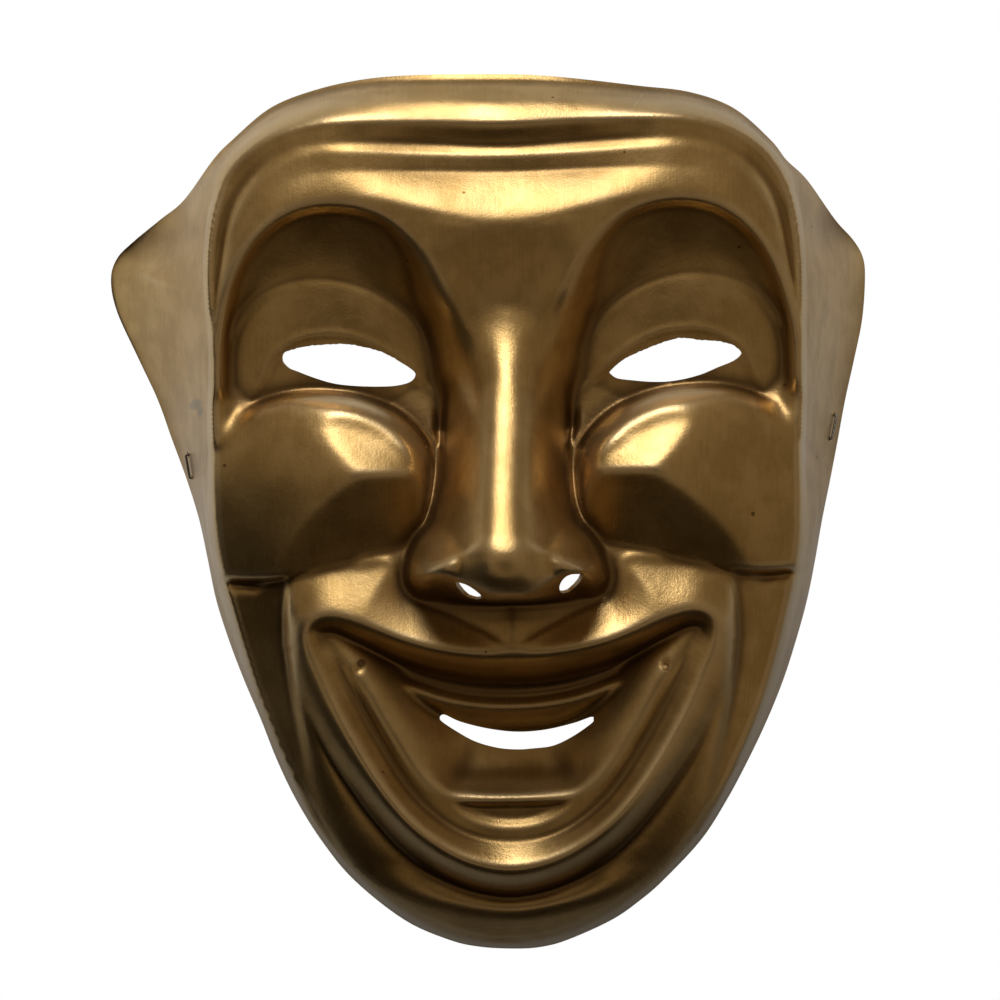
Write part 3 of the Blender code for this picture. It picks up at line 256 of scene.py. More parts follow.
LIPS_CREST = [
    (0, -39.4, 65.4), (8, -39.2, 65.6), (14, -38.6, 65.8), (20, -37.4, 65.6), (26, -35.6, 65.2),
    (32, -33.2, 64.6), (38, -30.6, 63.8), (44, -28.6, 63.0), (48.4, -28.4, 62.3), (51.4, -30.4, 61.6),
    (52.0, -34.2, 61.0), (50.6, -38.6, 60.8), (48.4, -42.7, 61.0), (45.1, -50.3, 61.7),
    (40.7, -58.5, 62.6), (35.9, -66.4, 63.4), (30.6, -74.0, 64.0), (24.6, -80.9, 64.3),
    (17.2, -86.5, 63.5), (9.0, -90.6, 63.2), (0, -92.2, 63.0),
]
LIPS_INNER = [
    (0, -45.2, 53.8), (10, -44.6, 53.8), (20, -42.4, 54), (30, -38.8, 55), (38, -35.0, 56.5),
    (44, -32.2, 57.8), (47.4, -32.2, 58.6), (47.4, -35, 58.7), (45, -38.6, 58.8), (41.5, -44.2, 58.4),
    (37, -52.5, 57.9), (33, -60, 57.8), (28.6, -67.8, 57.8), (23, -75, 57.9), (15.5, -81.3, 58.1),
    (8, -84.4, 58.3), (0, -85.2, 58.4),
]
MOUTH_EDGE = [
    (46.5, -34, 58.4), (43.5, -37.4, 58.5), (40.0, -41.8, 58.9), (36.2, -47.3, 59.3),
    (33.0, -53.3, 59.5), (29.2, -59.5, 59.5), (25.2, -65.6, 59.4), (20.8, -70.8, 59.2),
    (15.5, -74.4, 58.6), (7.2, -75.4, 58.4), (0, -75.6, 58.4), (-7.2, -75.4, 58.4),
]
TEETH_LINE = [
    (-7.9, -51.1), (0, -51.5), (7.9, -51.1), (15.7, -49.8), (23.2, -47.3), (30.4, -44.0), (38, -39.5),
    (44, -35),
]

# Heights up the centre line of the forehead, as (y, height).
CENTRE_LINE = [(30, 60.0), (42, 59.5), (50, 59.3), (57.5, 60.3), (64, 61.8), (68.75, 62.4), (72, 62.3)]
NOSE_RIDGE = [
    (-15.5, 91.0), (-12, 90), (-4, 85.5), (6, 80), (20, 72.3), (32, 66.0), (40, 62.0), (46, 59.9), (52, 59.3),
]

# How the top wall rises from the rim to its roll, as (share of the way in, share of the rise).
TOP_WALL = [(0.0, 0.0), (0.16, 0.12), (0.36, 0.46), (0.56, 0.73), (0.8, 0.91), (1.0, 1.0)]


def smooth(t):
    """Ease from 0 to 1 over the range 0 to 1."""
    t = np.clip(t, 0.0, 1.0)
    return t * t * (3.0 - 2.0 * t)


def mix(a, b, share):
    return a + (b - a) * share


def soft_max(a, b, fillet):
    return 0.5 * (a + b + np.sqrt((a - b) ** 2 + fillet * fillet))


def soft_min(a, b, fillet):
    return 0.5 * (a + b - np.sqrt((a - b) ** 2 + fillet * fillet))


def spline(points, closed=False, per_span=6):
    """Points along a smooth curve that passes through all the given ones."""
    knots = np.array(points, float)
    count = len(knots)
    if closed:
        knots = np.vstack([knots[-1], knots, knots[0], knots[1]])
        spans = count
    else:
        knots = np.vstack([2 * knots[0] - knots[1], knots, 2 * knots[-1] - knots[-2]])
        spans = count - 1
    t = np.linspace(0.0, 1.0, per_span, endpoint=False)[:, None]
    runs = []
    for i in range(spans):
        a, b, c, d = knots[i:i + 4]
        bend = (2 * a - 5 * b + 4 * c - d) * t ** 2 + (3 * b - a - 3 * c + d) * t ** 3
        runs.append(0.5 * (2 * b + (c - a) * t + bend))
    if not closed:
        runs.append(knots[-2:-1])
    return np.vstack(runs)


def lookup(value, table):
    """The table's result at a place, along a smooth curve through its entries."""
    places, results = spline(table).T
    return np.interp(value, places, results)


def blurred(field, reach):
    """The field with its creases rounded over the given number of steps."""
    size = int(3 * reach) + 1
    weights = np.exp(-0.5 * (np.arange(-size, size + 1) / reach) ** 2)
    weights = weights / weights.sum()
    padded = np.pad(field, size, mode="edge")
    rows = sum(w * padded[i:i + field.shape[0], :] for i, w in enumerate(weights))
    return sum(w * rows[:, i:i + field.shape[1]] for i, w in enumerate(weights))


def inside_polygon(loop, points):
    """Whether each point is inside the straight-sided loop."""
    odd = np.zeros(points.shape[:1], bool)
    x, y = points.T
    for (x0, y0), (x1, y1) in zip(loop, np.roll(loop, -1, axis=0)):
        if y0 != y1:
            odd ^= ((y0 > y) != (y1 > y)) & (x < (x1 - x0) * (y - y0) / (y1 - y0) + x0)
    return odd


class Guide:
    """A smooth curve in the drawing, with heights along it."""

    def __init__(self, points, closed=False, per_span=6):
        with_heights = [tuple(p) if len(p) == 3 else tuple(p) + (0.0,) for p in points]
        self.line = spline(with_heights, closed, per_span)
        if closed:
            self.line = np.vstack([self.line, self.line[:1]])
        steps = np.hypot(*np.diff(self.line[:, :2], axis=0).T)
        self.lengths = np.concatenate([[0.0], np.cumsum(steps)])

    def near(self, x, y):
        """Distance to the curve (positive on its right as it runs), its height and share of length there."""
        best = np.full(x.shape, 1e18)
        side = np.zeros(x.shape)
        height = np.zeros(x.shape)
        along = np.zeros(x.shape)
        for i in range(len(self.line) - 1):
            ax, ay, az = self.line[i]
            dx, dy, dz = self.line[i + 1] - self.line[i]
            t = np.clip(((x - ax) * dx + (y - ay) * dy) / (dx * dx + dy * dy + 1e-12), 0.0, 1.0)
            ex = x - ax - t * dx
            ey = y - ay - t * dy
            square = ex * ex + ey * ey
            closer = square < best
            best = np.where(closer, square, best)
            side = np.where(closer, dy * ex - dx * ey, side)
            height = np.where(closer, az + t * dz, height)
            along = np.where(closer, self.lengths[i] + t * (self.lengths[i + 1] - self.lengths[i]), along)
        distance = np.sqrt(best) * np.where(side >= 0, 1.0, -1.0)
        if x.ndim == 2:
            reach = GUIDE_ROUNDING / FIELD_STEP
            distance, height, along = (blurred(field, reach) for field in (distance, height, along))
        return distance, height, along / self.lengths[-1]

    def holds(self, x, y):
        """Whether each point is inside this closed curve."""
        flat = np.column_stack([np.ravel(x), np.ravel(y)])
        return inside_polygon(self.line[:-1, :2], flat).reshape(np.shape(x))


def mirrored(points):
    """An open guide that carries on a little way over the midline."""
    return Guide([(-p[0],) + tuple(p[1:]) for p in points[3:0:-1]] + list(points))


def closed_half(points):
    """A closed guide from one half that starts and ends on the midline."""
    return Guide(list(points) + [(-p[0],) + tuple(p[1:]) for p in points[-2:0:-1]], closed=True)


def share_between(first, second):
    """How far a point is from one guide towards the next, 0 to 1, from its distances to both."""
    return np.abs(first) / (np.abs(first) + np.abs(second) + 1e-9)


def forehead(x, y):
    """Top wall's crest, groove, fold and the rounded forehead, lofted from guide to guide."""
    edge, edge_z, _ = mirrored(SHOULDER[:12]).near(x, y)
    groove, groove_z, _ = mirrored(FOREHEAD_GROOVE).near(x, y)
    fold, fold_z, _ = mirrored(FOREHEAD_FOLD).near(x, y)
    foot, foot_z, _ = mirrored(FOREHEAD_FOOT).near(x, y)
    crest, crest_z, _ = mirrored(FOREHEAD_CREST).near(x, y)
    roll = mix(edge_z, groove_z, smooth(share_between(edge, groove)))
    rise = mix(groove_z, fold_z, share_between(groove, fold) ** 1.5)
    shelf = mix(fold_z, foot_z, share_between(fold, foot))
    swell = mix(foot_z, crest_z, 1.0 - (1.0 - share_between(foot, crest)) ** 1.35)
    middle = smooth((22.0 - x) / 16.0) * smooth(crest / 3.0)
    crown = mix(crest_z, lookup(y, CENTRE_LINE), middle)
    crown = crown - 0.02 * np.clip(crest, 0.0, 60.0) * smooth((x - 8.0) / 20.0)
    zones = [edge < 0, groove < 0, fold < 0, foot < 0, crest < 0]
    return np.select(zones, [edge_z, roll, rise, shelf, swell], crown)


def ground(x, y):
    """The lowest skin of the face, beside the nose and round the eyes."""
    rise = (7.0 * smooth((34.0 - y) / 44.0) + 5.0 * smooth((-2.0 - y) / 14.0)) * smooth((52.0 - x) / 16.0)
    philtrum = PHILTRUM_RISE + 0.2 * np.clip(y + 36.0, 0.0, 5.0) + np.clip(y + 31.5, 0.0, 7.0)
    return GROUND_HEIGHT + rise + philtrum * smooth((-14.0 - y) / 10.0) * smooth((20.0 - x) / 17.0)


def eye_socket(x, y, brow, brow_z, brow_along):
    """The hollow under the brow, with the lid and eyeball standing in it."""
    lid, lid_z, _ = Guide(LID_FOOT).near(x, y)
    lash, _, _ = Guide(LASH_LINE).near(x, y)
    overhang = BROW_OVERHANG * smooth((brow_along - 0.26) / 0.18)
    eyeball = EYEBALL_HEIGHT - 3.4 * ((x - 43.0) / 27.0) ** 2 - ((y - 43.0) / 17.0) ** 2
    eyeball = np.maximum(eyeball - 0.5 * smooth(lash / 3.0), ground(x, y))
    share = np.where(brow > 0, share_between(brow, lid), 0.0)
    hollow = mix(brow_z - overhang, lid_z - LID_STEP, 1.0 - (1.0 - share) ** 1.3)
    lid_top = eyeball + 0.35 * np.exp(-(lash / 0.7) ** 2)
    socket = mix(hollow, lid_top, smooth(lid / 3.0))
    socket = np.where(y < 14.0, np.maximum(socket, ground(x, y)), socket)
    return mix(ground(x, y), socket, smooth((y - 4.0) / 14.0))


def nose(x, y, skin):
    """A ridge from the brow to the tip, with two wings, over its foot line."""
    foot_guide = closed_half(NOSE_FOOT)
    foot, foot_z, _ = foot_guide.near(x, y)
    tip_y = NOSE_RIDGE[0][0]
    half_width = RIDGE_HALF_WIDTH + 1.8 * smooth((y - 24.0) / 18.0)
    from_ridge = np.hypot(x, y - np.clip(y, tip_y, 46.0)) - half_width
    from_ridge = soft_max(from_ridge, 0.0, RIDGE_ROUNDING)
    ridge_z = lookup(y, NOSE_RIDGE)
    brim = NOSE_BRIM * smooth((-13.0 - y) / 7.0) * smooth((25.0 - x) / 6.0)
    share = (np.abs(foot) + brim) / (np.abs(foot) + brim + from_ridge + 1e-9)
    form = mix(foot_z, ridge_z, 1.0 - (1.0 - share) ** 1.55)
    from_wing = np.hypot((np.abs(x) - 18.0) / 7.5, (y + 14.0) / 8.5)
    form = form + 5.0 * np.clip(1.0 - from_wing ** 2, 0.0, 1.0) ** 1.5
    edge, _, _ = mirrored(NOSE_EDGE).near(x, y)
    under = np.where(edge > 0, share_between(edge, foot), 0.0)
    form = mix(form, foot_z, smooth(under) ** 0.8)
    rooted = mix(1.0, smooth(np.abs(foot) / 4.0), smooth((y - 26.0) / 8.0))
    form = mix(skin, soft_max(form, skin - 1.0, 1.0), rooted)
    return np.where(foot_guide.holds(x, y), form, skin)


def cheek(x, y, skin):
    """A ball cheek with three facets that meet at its apex, and a steep limb up from its rim."""
    rim, _, _ = Guide(CHEEK_RIM).near(x, y)
    apex_x, apex_y, apex_z = CHEEK_APEX
    out = x - apex_x
    up = y - apex_y
    band = CHEEK_UPPER_SLOPE * soft_max(CHEEK_BAND - rim, 0.0, 2.0) * smooth((y - 8.0) / 7.0)
    upper = apex_z + 0.15 * out - CHEEK_UPPER_SLOPE * up - 0.004 * out ** 2 + band
    lower = apex_z + 0.15 * out + CHEEK_LOWER_SLOPE * up - 0.004 * out ** 2
    outer = apex_z - 0.243 * out - 0.143 * up - 0.006 * out ** 2 - 0.010 * up ** 2
    from_foot = rim + CHEEK_LIMB
    limb = ground(x, y) - 1.0 + CHEEK_LIMB_SLOPE * from_foot + 4.5 * smooth(from_foot / CHEEK_LIMB)
    ball = soft_min(soft_min(soft_min(upper, lower, 0.9), outer, 0.9), limb, 3.4)
    return np.where(from_foot > -1.0, soft_max(skin, ball, 0.8), skin)


def jaw(x, y, skin, lips_foot, lips_foot_z):
    """The hollow beside the mouth, under the cheek's ledge, and the chin roll."""
    shoulder, shoulder_z, _ = closed_half(SHOULDER).near(x, y)
    fold, fold_z, _ = Guide(JAW_FOLD).near(x, y)
    ledge, _, _ = Guide(LEDGE).near(x, y)
    hollow = mix(shoulder_z, fold_z, share_between(shoulder, fold) ** 1.1)
    share = share_between(fold, lips_foot)
    roll = CHIN_ROLL_RISE * smooth((-90.0 - y) / 12.0) * np.sin(np.pi * share)
    band = mix(fold_z, lips_foot_z, 1.0 - (1.0 - share) ** 2) + roll
    low = np.where(fold > 0, band, hollow)
    low = low - LEDGE_DROP * (1.0 - smooth(ledge / 4.5)) * smooth((x - 60.0) / 4.0)
    below = smooth(ledge) * np.where((x > 50.0) | (y < -25.0), 1.0, 0.0)
    return mix(skin, low, below)


def lip_dent(x, y):
    """Depth of the crescent that is pressed into the middle of the lower lip."""
    from_ring = DENT_RADIUS - np.hypot(x - DENT_CENTRE[0], y - DENT_CENTRE[1])
    return DENT_DEPTH * np.clip(np.minimum(from_ring / DENT_WALL, (DENT_TOP - y) / 1.2), 0.0, 1.0)


def mouth(x, y, skin):
    """The ring of both lips and the hollow inside it, with the teeth line."""
    foot_guide = closed_half(LIPS_FOOT)
    crest_guide = closed_half(LIPS_CREST)
    inner_guide = closed_half(LIPS_INNER)
    foot, foot_z, _ = foot_guide.near(x, y)
    crest, crest_z, _ = crest_guide.near(x, y)
    inner, inner_z, _ = inner_guide.near(x, y)
    edge, edge_z, _ = Guide(MOUTH_EDGE).near(x, y)
    teeth, _, _ = Guide(TEETH_LINE).near(x, y)
    skin = jaw(x, y, skin, foot, foot_z)
    share = share_between(foot, crest)
    upper = 1.0 - (1.0 - share) ** 1.2
    outside = mix(foot_z, crest_z, mix(np.sin(share * math.pi / 2), upper, smooth((y + 42.0) / 8.0)))
    share = share_between(crest, inner)
    inside = mix(crest_z, inner_z, mix(share, 0.6 * smooth(share) + 0.4 * share, smooth((y + 66.0) / 10.0)))
    plateau = mix(inner_z, edge_z, np.sin(share_between(inner, edge) * math.pi / 2))
    plateau = plateau - lip_dent(x, y)
    reach = mix(18.0, 11.0, smooth((-58.0 - y) / 14.0))
    bottom = mix(edge_z, MOUTH_FLOOR_HEIGHT, smooth(np.abs(edge) / reach))
    roof = MOUTH_FLOOR_HEIGHT + TEETH_RISE + TEETH_LINE_RISE * np.exp(-(teeth / 0.9) ** 2)
    roof = roof - RECESS_DEPTH * np.sin(share_between(inner, teeth) * math.pi) * (teeth < 0)
    bottom = soft_max(bottom, mix(MOUTH_FLOOR_HEIGHT, roof, smooth((6.5 - teeth) / 5.5)), 0.8)
    bottom = bottom - DIMPLE_DEPTH * np.exp(-(((x - DIMPLE[0]) ** 2 + (y - DIMPLE[1]) ** 2) / 0.9) ** 2)
    hollow = np.where(edge > 0, bottom, plateau)
    lips = np.where(inner_guide.holds(x, y), hollow, np.where(crest_guide.holds(x, y), inside, outside))
    joined = mix(soft_max(skin, lips, 1.0), lips, smooth(np.abs(foot) / 3.5))
    return np.where(foot_guide.holds(x, y), joined, skin)


def half_face(x, y):
    """Height of one half of the face, inside the shoulder line."""
    brow, brow_z, brow_along = Guide(BROW_EDGE).near(x, y)
    softness = mix(12.0, 2.2, smooth((brow_along - 0.2) / 0.2))
    socket = eye_socket(x, y, brow, brow_z, brow_along)
    skin = mix(forehead(x, y), socket, np.where(y > 14.0, smooth(brow / softness), 1.0))
    skin = mix(ground(x, y), skin, smooth((y - 8.0) / 10.0))
    skin = nose(x, y, skin)
    skin = cheek(x, y, skin)
    return mouth(x, y, skin)


class Form:
    """The outer skin's height over the drawing."""

    def __init__(self):
        self.xs = np.arange(-6.0, 106.0, FIELD_STEP)
        self.ys = np.arange(-118.0, 112.0, FIELD_STEP)
        grid_x, grid_y = np.meshgrid(self.xs, self.ys)
        field = half_face(np.abs(grid_x), grid_y)
        from_root = np.hypot(np.abs(grid_x) - NOSE_ROOT[0], grid_y - NOSE_ROOT[1])
        field = mix(field, blurred(field, ROOT_ROUNDING / FIELD_STEP), smooth((16.0 - from_root) / 9.0))
        from_corner = np.hypot(np.abs(grid_x) - SOCKET_CORNER[0], grid_y - SOCKET_CORNER[1])
        field = mix(field, blurred(field, ROOT_ROUNDING / FIELD_STEP), smooth((9.0 - from_corner) / 5.0))
        from_lips = np.abs(closed_half(LIPS_CREST).near(np.abs(grid_x), grid_y)[0])
        field = mix(field, blurred(field, LIP_ROUNDING / FIELD_STEP), smooth((5.0 - from_lips) / 3.0))
        self.field = blurred(field, EDGE_ROUNDING / FIELD_STEP)
        self.rim = Guide(OUTLINE, closed=True)
        self.shoulder = closed_half(SHOULDER)

    def face(self, x, y):
        """Height of the face by its half, mirrored over the leaning midline."""
        lean = lookup(y, NOSE_LEAN) * smooth((34.0 - np.abs(x)) / 14.0)
        across = np.abs(x - lookup(y, MIDLINE) - lean)
        column = np.clip((across - self.xs[0]) / FIELD_STEP, 0, len(self.xs) - 1.001)
        row = np.clip((y - self.ys[0]) / FIELD_STEP, 0, len(self.ys) - 1.001)
        i = row.astype(int)
        j = column.astype(int)
        v = row - i
        u = column - j
        low = mix(self.field[i, j], self.field[i, j + 1], u)
        high = mix(self.field[i + 1, j], self.field[i + 1, j + 1], u)
        return mix(low, high, v)

    def height(self, x, y):
        """Height of the whole skin: the face, and the wall and flaps down to the rim."""
        to_rim, _, _ = self.rim.near(x, y)
        across = x - lookup(y, MIDLINE)
        to_shoulder, _, _ = self.shoulder.near(across, y)
        share = share_between(to_rim, to_shoulder)
        flap = smooth((y + 15.0) / 30.0) * smooth((86.0 - y) / 20.0) * smooth((np.abs(x) - 60.0) / 10.0)
        profile = mix(np.sin(share * math.pi / 2), share ** 1.25, flap)
        profile = mix(profile, lookup(share, TOP_WALL), smooth((y - 78.0) / 12.0))
        wall = mix(rim_height(x, y), self.face(x, y), profile)
        return np.where(self.shoulder.holds(across, y), self.face(x, y), wall)


def rim_height(x, y):
    """The rim stands clear of the ground at the top and along the jaw, and touches at flaps and chin."""
    top = TOP_RIM_HEIGHT - TOP_RIM_FALL * smooth((np.abs(x) - 12.0) / 40.0)
    top = top * smooth((y - 60.0) / 30.0)
    jaw_line = JAW_RIM_HEIGHT * np.sin(math.pi * np.clip((42.0 - y) / 150.0, 0.0, 1.0)) ** 1.2
    return np.where(y > 50.0, top, jaw_line)


def moulded(x, y, height):
    """From the drawing to the real place: the form narrows with height by the mould's draft."""
    keep = 1.0 - DRAFT * height
    return np.column_stack([x * keep, y * keep, height])


def evenly(loop, spacing):
    """The closed curve through the loop's points, as points at about the given spacing."""
    line = spline(loop, closed=True)
    line = np.vstack([line, line[:1]])
    lengths = np.concatenate([[0.0], np.cumsum(np.hypot(*np.diff(line, axis=0).T))])
    places = np.linspace(0.0, lengths[-1], max(int(lengths[-1] / spacing), 8), endpoint=False)
    return np.column_stack([np.interp(places, lengths, line[:, 0]), np.interp(places, lengths, line[:, 1])])


def inset(loop, distance):
    """The loop moved inwards."""
    tangent = np.roll(loop, -1, axis=0) - np.roll(loop, 1, axis=0)
    tangent = tangent / np.hypot(*tangent.T)[:, None]
    return loop + distance * np.column_stack([-tangent[:, 1], tangent[:, 0]])


@functools.cache
def mask_form():
    """The face's form, worked out once for all the pieces."""
    return Form()


def ragged(loop, reach, phase):
    """A hand-cut opening: small uneven nicks along its upper edge."""
    turn = np.arange(len(loop)) / len(loop) * 2 * math.pi
    nicks = np.sin(7 * turn + phase) * np.sin(17 * turn + 2 * phase) * np.sin(31 * turn + 3 * phase)
    upper = smooth((loop[:, 1] - loop[:, 1].mean()) / 3.0 + 0.3)
    return loop + np.column_stack([np.zeros(len(loop)), reach * nicks * upper])


def leg_hole(place):
    """The loop in the drawing that a round hole square to the skin makes."""
    centre, outward = surface_frame(mask_form(), place)
    first = outward.orthogonal().normalized()
    second = outward.cross(first)
    turn = np.linspace(0.0, 2 * math.pi, 16, endpoint=False)
    loop = [centre + LEG_HOLE_RADIUS * (math.cos(a) * first + math.sin(a) * second) for a in turn]
    keep = 1.0 - DRAFT * centre.z
    return np.array([(p.x / keep, p.y / keep) for p in loop])


def cut_loops():
    """The mask's outline, and every opening in it, as closed loops of the drawing."""
    outline = evenly(OUTLINE, EDGE_SPACING)
    eyes = [ragged(evenly(loop, 0.35), 0.14, phase) for loop, phase in ((EYE_LEFT, 0.4), (EYE_RIGHT, 2.1))]
    slit = [evenly(MOUTH_SLIT, 0.5)]
    nostrils = [evenly(loop, 0.4) for loop in (NOSTRIL_LEFT, NOSTRIL_RIGHT)]
    legs = [leg_hole(place) for ends in STAPLE_ENDS.values() for place in ends]
    return [outline] + eyes + slit + nostrils + legs


def sheet_plan(loops, rows, spacing):
    """The flat sheet's points and triangles between the outline and the openings."""
    outline = loops[0]
    low_x, low_y = outline.min(axis=0)
    high_x, high_y = outline.max(axis=0)
    step_y = spacing * math.sqrt(0.75)
    inner = np.array([
        (x + (row % 2) * spacing / 2, y)
        for row, y in enumerate(np.arange(low_y, high_y, step_y))
        for x in np.arange(low_x, high_x, spacing)
    ])
    keep = inside_polygon(outline, inner)
    from_rim = max(RIM_ROWS) + 0.5 * spacing
    for loop, clear in [(outline, from_rim)] + [(loop, 0.6 * spacing) for loop in loops[1:]]:
        reach = clear + 1.0
        near_by = ((inner > loop.min(axis=0) - reach) & (inner < loop.max(axis=0) + reach)).all(axis=1)
        distance, _, _ = Guide(loop, closed=True, per_span=1).near(inner[near_by, 0], inner[near_by, 1])
        keep[near_by] &= np.abs(distance) > clear
    edges = []
    points = []
    for loop in loops:
        start = len(points)
        points += loop.tolist()
        edges += [(start + i, start + (i + 1) % len(loop)) for i in range(len(loop))]
    points += [p for row in rows for p in row.tolist()] + inner[keep].tolist()
    found = delaunay_2d_cdt([Vector(p) for p in points], edges, [], 1, 1e-5)
    corners = np.array([tuple(p) for p in found[0]])
    faces = np.array([tuple(face) for face in found[2]])
    middle = corners[faces].mean(axis=1)
    wanted = inside_polygon(outline, middle)
    for loop in loops[1:]:
        wanted &= ~inside_polygon(loop, middle)
    return corners, faces[wanted]


def unit_rows(rows):
    return rows / np.maximum(np.linalg.norm(rows, axis=1), 1e-9)[:, None]


def evened(rows, faces, rounds):
    """Each point's row, averaged with those of its neighbours over and over."""
    flat = rows.reshape(len(rows), -1)
    here = np.concatenate([faces[:, corner] for corner in (0, 0, 1, 1, 2, 2)])
    there = np.concatenate([faces[:, corner] for corner in (1, 2, 2, 0, 0, 1)])
    count = 1.0 + np.bincount(here, minlength=len(flat))
    for _ in range(rounds):
        near = [np.bincount(here, column[there], len(flat)) for column in flat.T]
        flat = (flat + np.column_stack(near)) / count[:, None]
    return flat.reshape(rows.shape)


def skin_directions(points, faces):
    """Outward direction at each point of the skin."""
    corners = points[faces]
    facing = np.cross(corners[:, 1] - corners[:, 0], corners[:, 2] - corners[:, 0])
    directions = np.zeros_like(points)
    for corner in range(3):
        np.add.at(directions, faces[:, corner], facing)
    return unit_rows(directions)


def back_skin(points, faces, rim, wall):
    """The inner skin's points, one wall behind the outer skin and level with it at the rim."""
    keep = 1.0 - DRAFT * points[:, 2]
    to_rim, _, _ = rim.near(points[:, 0] / keep, points[:, 1] / keep)
    directions = evened(skin_directions(points, faces), faces, WALL_EVENING_ROUNDS)
    directions[:, 2] *= smooth((np.abs(to_rim) - 1.0) / RIM_BAND)
    return points - wall * unit_rows(directions)


def border_edges(faces):
    """The edges that only one face uses, each in that face's order."""
    edges = {(int(face[i]), int(face[(i + 1) % 3])) for face in faces for i in range(3)}
    return [edge for edge in edges if edge[::-1] not in edges]


def creases(points, faces, near_rounds, far_rounds):
    """How hollow the skin is at each point, in mm: above 0 in grooves, below 0 on ridges."""
    directions = evened(skin_directions(points, faces), faces, near_rounds)
    lift = ((evened(points, faces, far_rounds) - points) * directions).sum(axis=1)
    return evened(lift, faces, near_rounds)


def brush_strokes(x, y, height):
    """A place for each point to lay streaks by: across the strokes, along them, and depth, in metres."""
    across = np.abs(x - lookup(y, MIDLINE))
    brow, _, brow_along = Guide(BROW_EDGE).near(across, y)
    fold, _, fold_along = Guide(JAW_FOLD).near(across, y)
    lips, _, lips_along = closed_half(LIPS_CREST).near(across, y)
    in_socket = smooth((brow + 2.0) / 3.0) * smooth((y - 22.0) / 8.0)
    on_jaw = smooth((6.0 - fold) / 3.0) * smooth((-18.0 - y) / 6.0)
    on_lips = smooth((9.0 - np.abs(lips)) / 3.0) * (y < -36.0)
    plain = np.column_stack([x, y])
    socket = np.column_stack([brow, 140.0 * brow_along])
    jaw_band = np.column_stack([fold, 150.0 * fold_along])
    lip_roll = np.column_stack([280.0 * lips_along, lips])
    laid = plain
    for share, way in ((in_socket, socket), (on_jaw, jaw_band), (on_lips, lip_roll)):
        laid = np.where((share > 0.5)[:, None], way, laid)
    return np.column_stack([laid, height]) * MM


def placed(name, data, surface, riding=True):
    """A new object with its material, riding on the mask's one body."""
    made = bpy.data.objects.new(name, data)
    data.materials.append(surface)
    bpy.context.scene.collection.objects.link(made)
    if riding:
        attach(made, "root")
    return made


def build_shell(sizes, surface):
    """The whole moulded shell: fine skin in front, coarser skin behind, and the cut edges between."""
    form = mask_form()
    loops = cut_loops()
    rows = [inset(loops[0], distance) for distance in RIM_ROWS]
    front_plan, front_faces = sheet_plan(loops, rows, sizes.skin_spacing / MM)
    back_plan, back_faces = sheet_plan(loops, [], BACK_SPACING)
    front = moulded(front_plan[:, 0], front_plan[:, 1], form.height(front_plan[:, 0], front_plan[:, 1]))
    behind = moulded(back_plan[:, 0], back_plan[:, 1], form.height(back_plan[:, 0], back_plan[:, 1]))
    back = back_skin(behind, back_faces, form.rim, sizes.wall / MM)
    count = len(front)
    closing = [(b, a, a + count, b + count) for a, b in border_edges(front_faces)]
    points = np.vstack([front, back]) + (*drawing_shift(), 0.0)
    faces = front_faces.tolist() + (back_faces[:, ::-1] + count).tolist() + closing
    mesh = bpy.data.meshes.new("Mask_shell")
    mesh.from_pydata((points * MM).tolist(), [], faces)
    mesh.polygons.foreach_set("use_smooth", [True] * len(faces))
    # Measures of hollowness: the paint darkens the skin by them as painted shade in hollows and grooves, and
    # lightens the ridges partly as a painted highlight.
    for name, (near_rounds, far_rounds) in CREASE_ROUNDS.items():
        crease = np.zeros(len(points))
        crease[:count] = creases(front, front_faces, near_rounds, far_rounds)
        mesh.attributes.new(name, "FLOAT", "POINT").data.foreach_set("value", crease)
    stroke = np.zeros((len(points), 3))
    stroke[:count] = brush_strokes(front_plan[:, 0], front_plan[:, 1], front[:, 2])
    mesh.attributes.new("stroke", "FLOAT_VECTOR", "POINT").data.foreach_set("vector", stroke.ravel())
    border = np.zeros(len(points), bool)
    for loop_edge in closing:
        border[list(loop_edge)] = True
    ends = np.zeros(2 * len(mesh.edges), int)
    mesh.edges.foreach_get("vertices", ends)
    sharp = border[ends.reshape(-1, 2)].all(axis=1)
    mesh.attributes.new("sharp_edge", "BOOLEAN", "EDGE").data.foreach_set("value", sharp)
    shell = placed("mask_shell_finished", mesh, surface)
    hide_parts("mask_shell")
    return shell


@functools.cache
def drawing_shift():
    """How far the drawing's origin is from the middle of the part's length and width, in mm."""
    outline = evenly(OUTLINE, EDGE_SPACING)
    rim = moulded(outline[:, 0], outline[:, 1], rim_height(outline[:, 0], outline[:, 1]))
    low, high = rim.min(axis=0), rim.max(axis=0)
    return tuple(-(low + high)[:2] / 2)


def surface_frame(form, place):
    """The skin's real place and outward direction at a point of the drawing, in mm."""
    step = 0.5
    x, y = place
    xs = np.array([x, x + step, x])
    ys = np.array([y, y, y + step])
    here, right, up = moulded(xs, ys, form.height(xs, ys))
    outward = Vector(right - here).cross(Vector(up - here)).normalized()
    return Vector(here), outward


def rounded_path(corners, radius, steps=5):
    """The path with each inner corner turned into a short bend."""
    path = [corners[0]]
    for before, corner, after in zip(corners, corners[1:], corners[2:]):
        start = corner + (before - corner).normalized() * radius
        end = corner + (after - corner).normalized() * radius
        for i in range(steps + 1):
            t = i / steps
            path.append(start * (1 - t) ** 2 + corner * 2 * t * (1 - t) + end * t ** 2)
    return path + [corners[-1]]


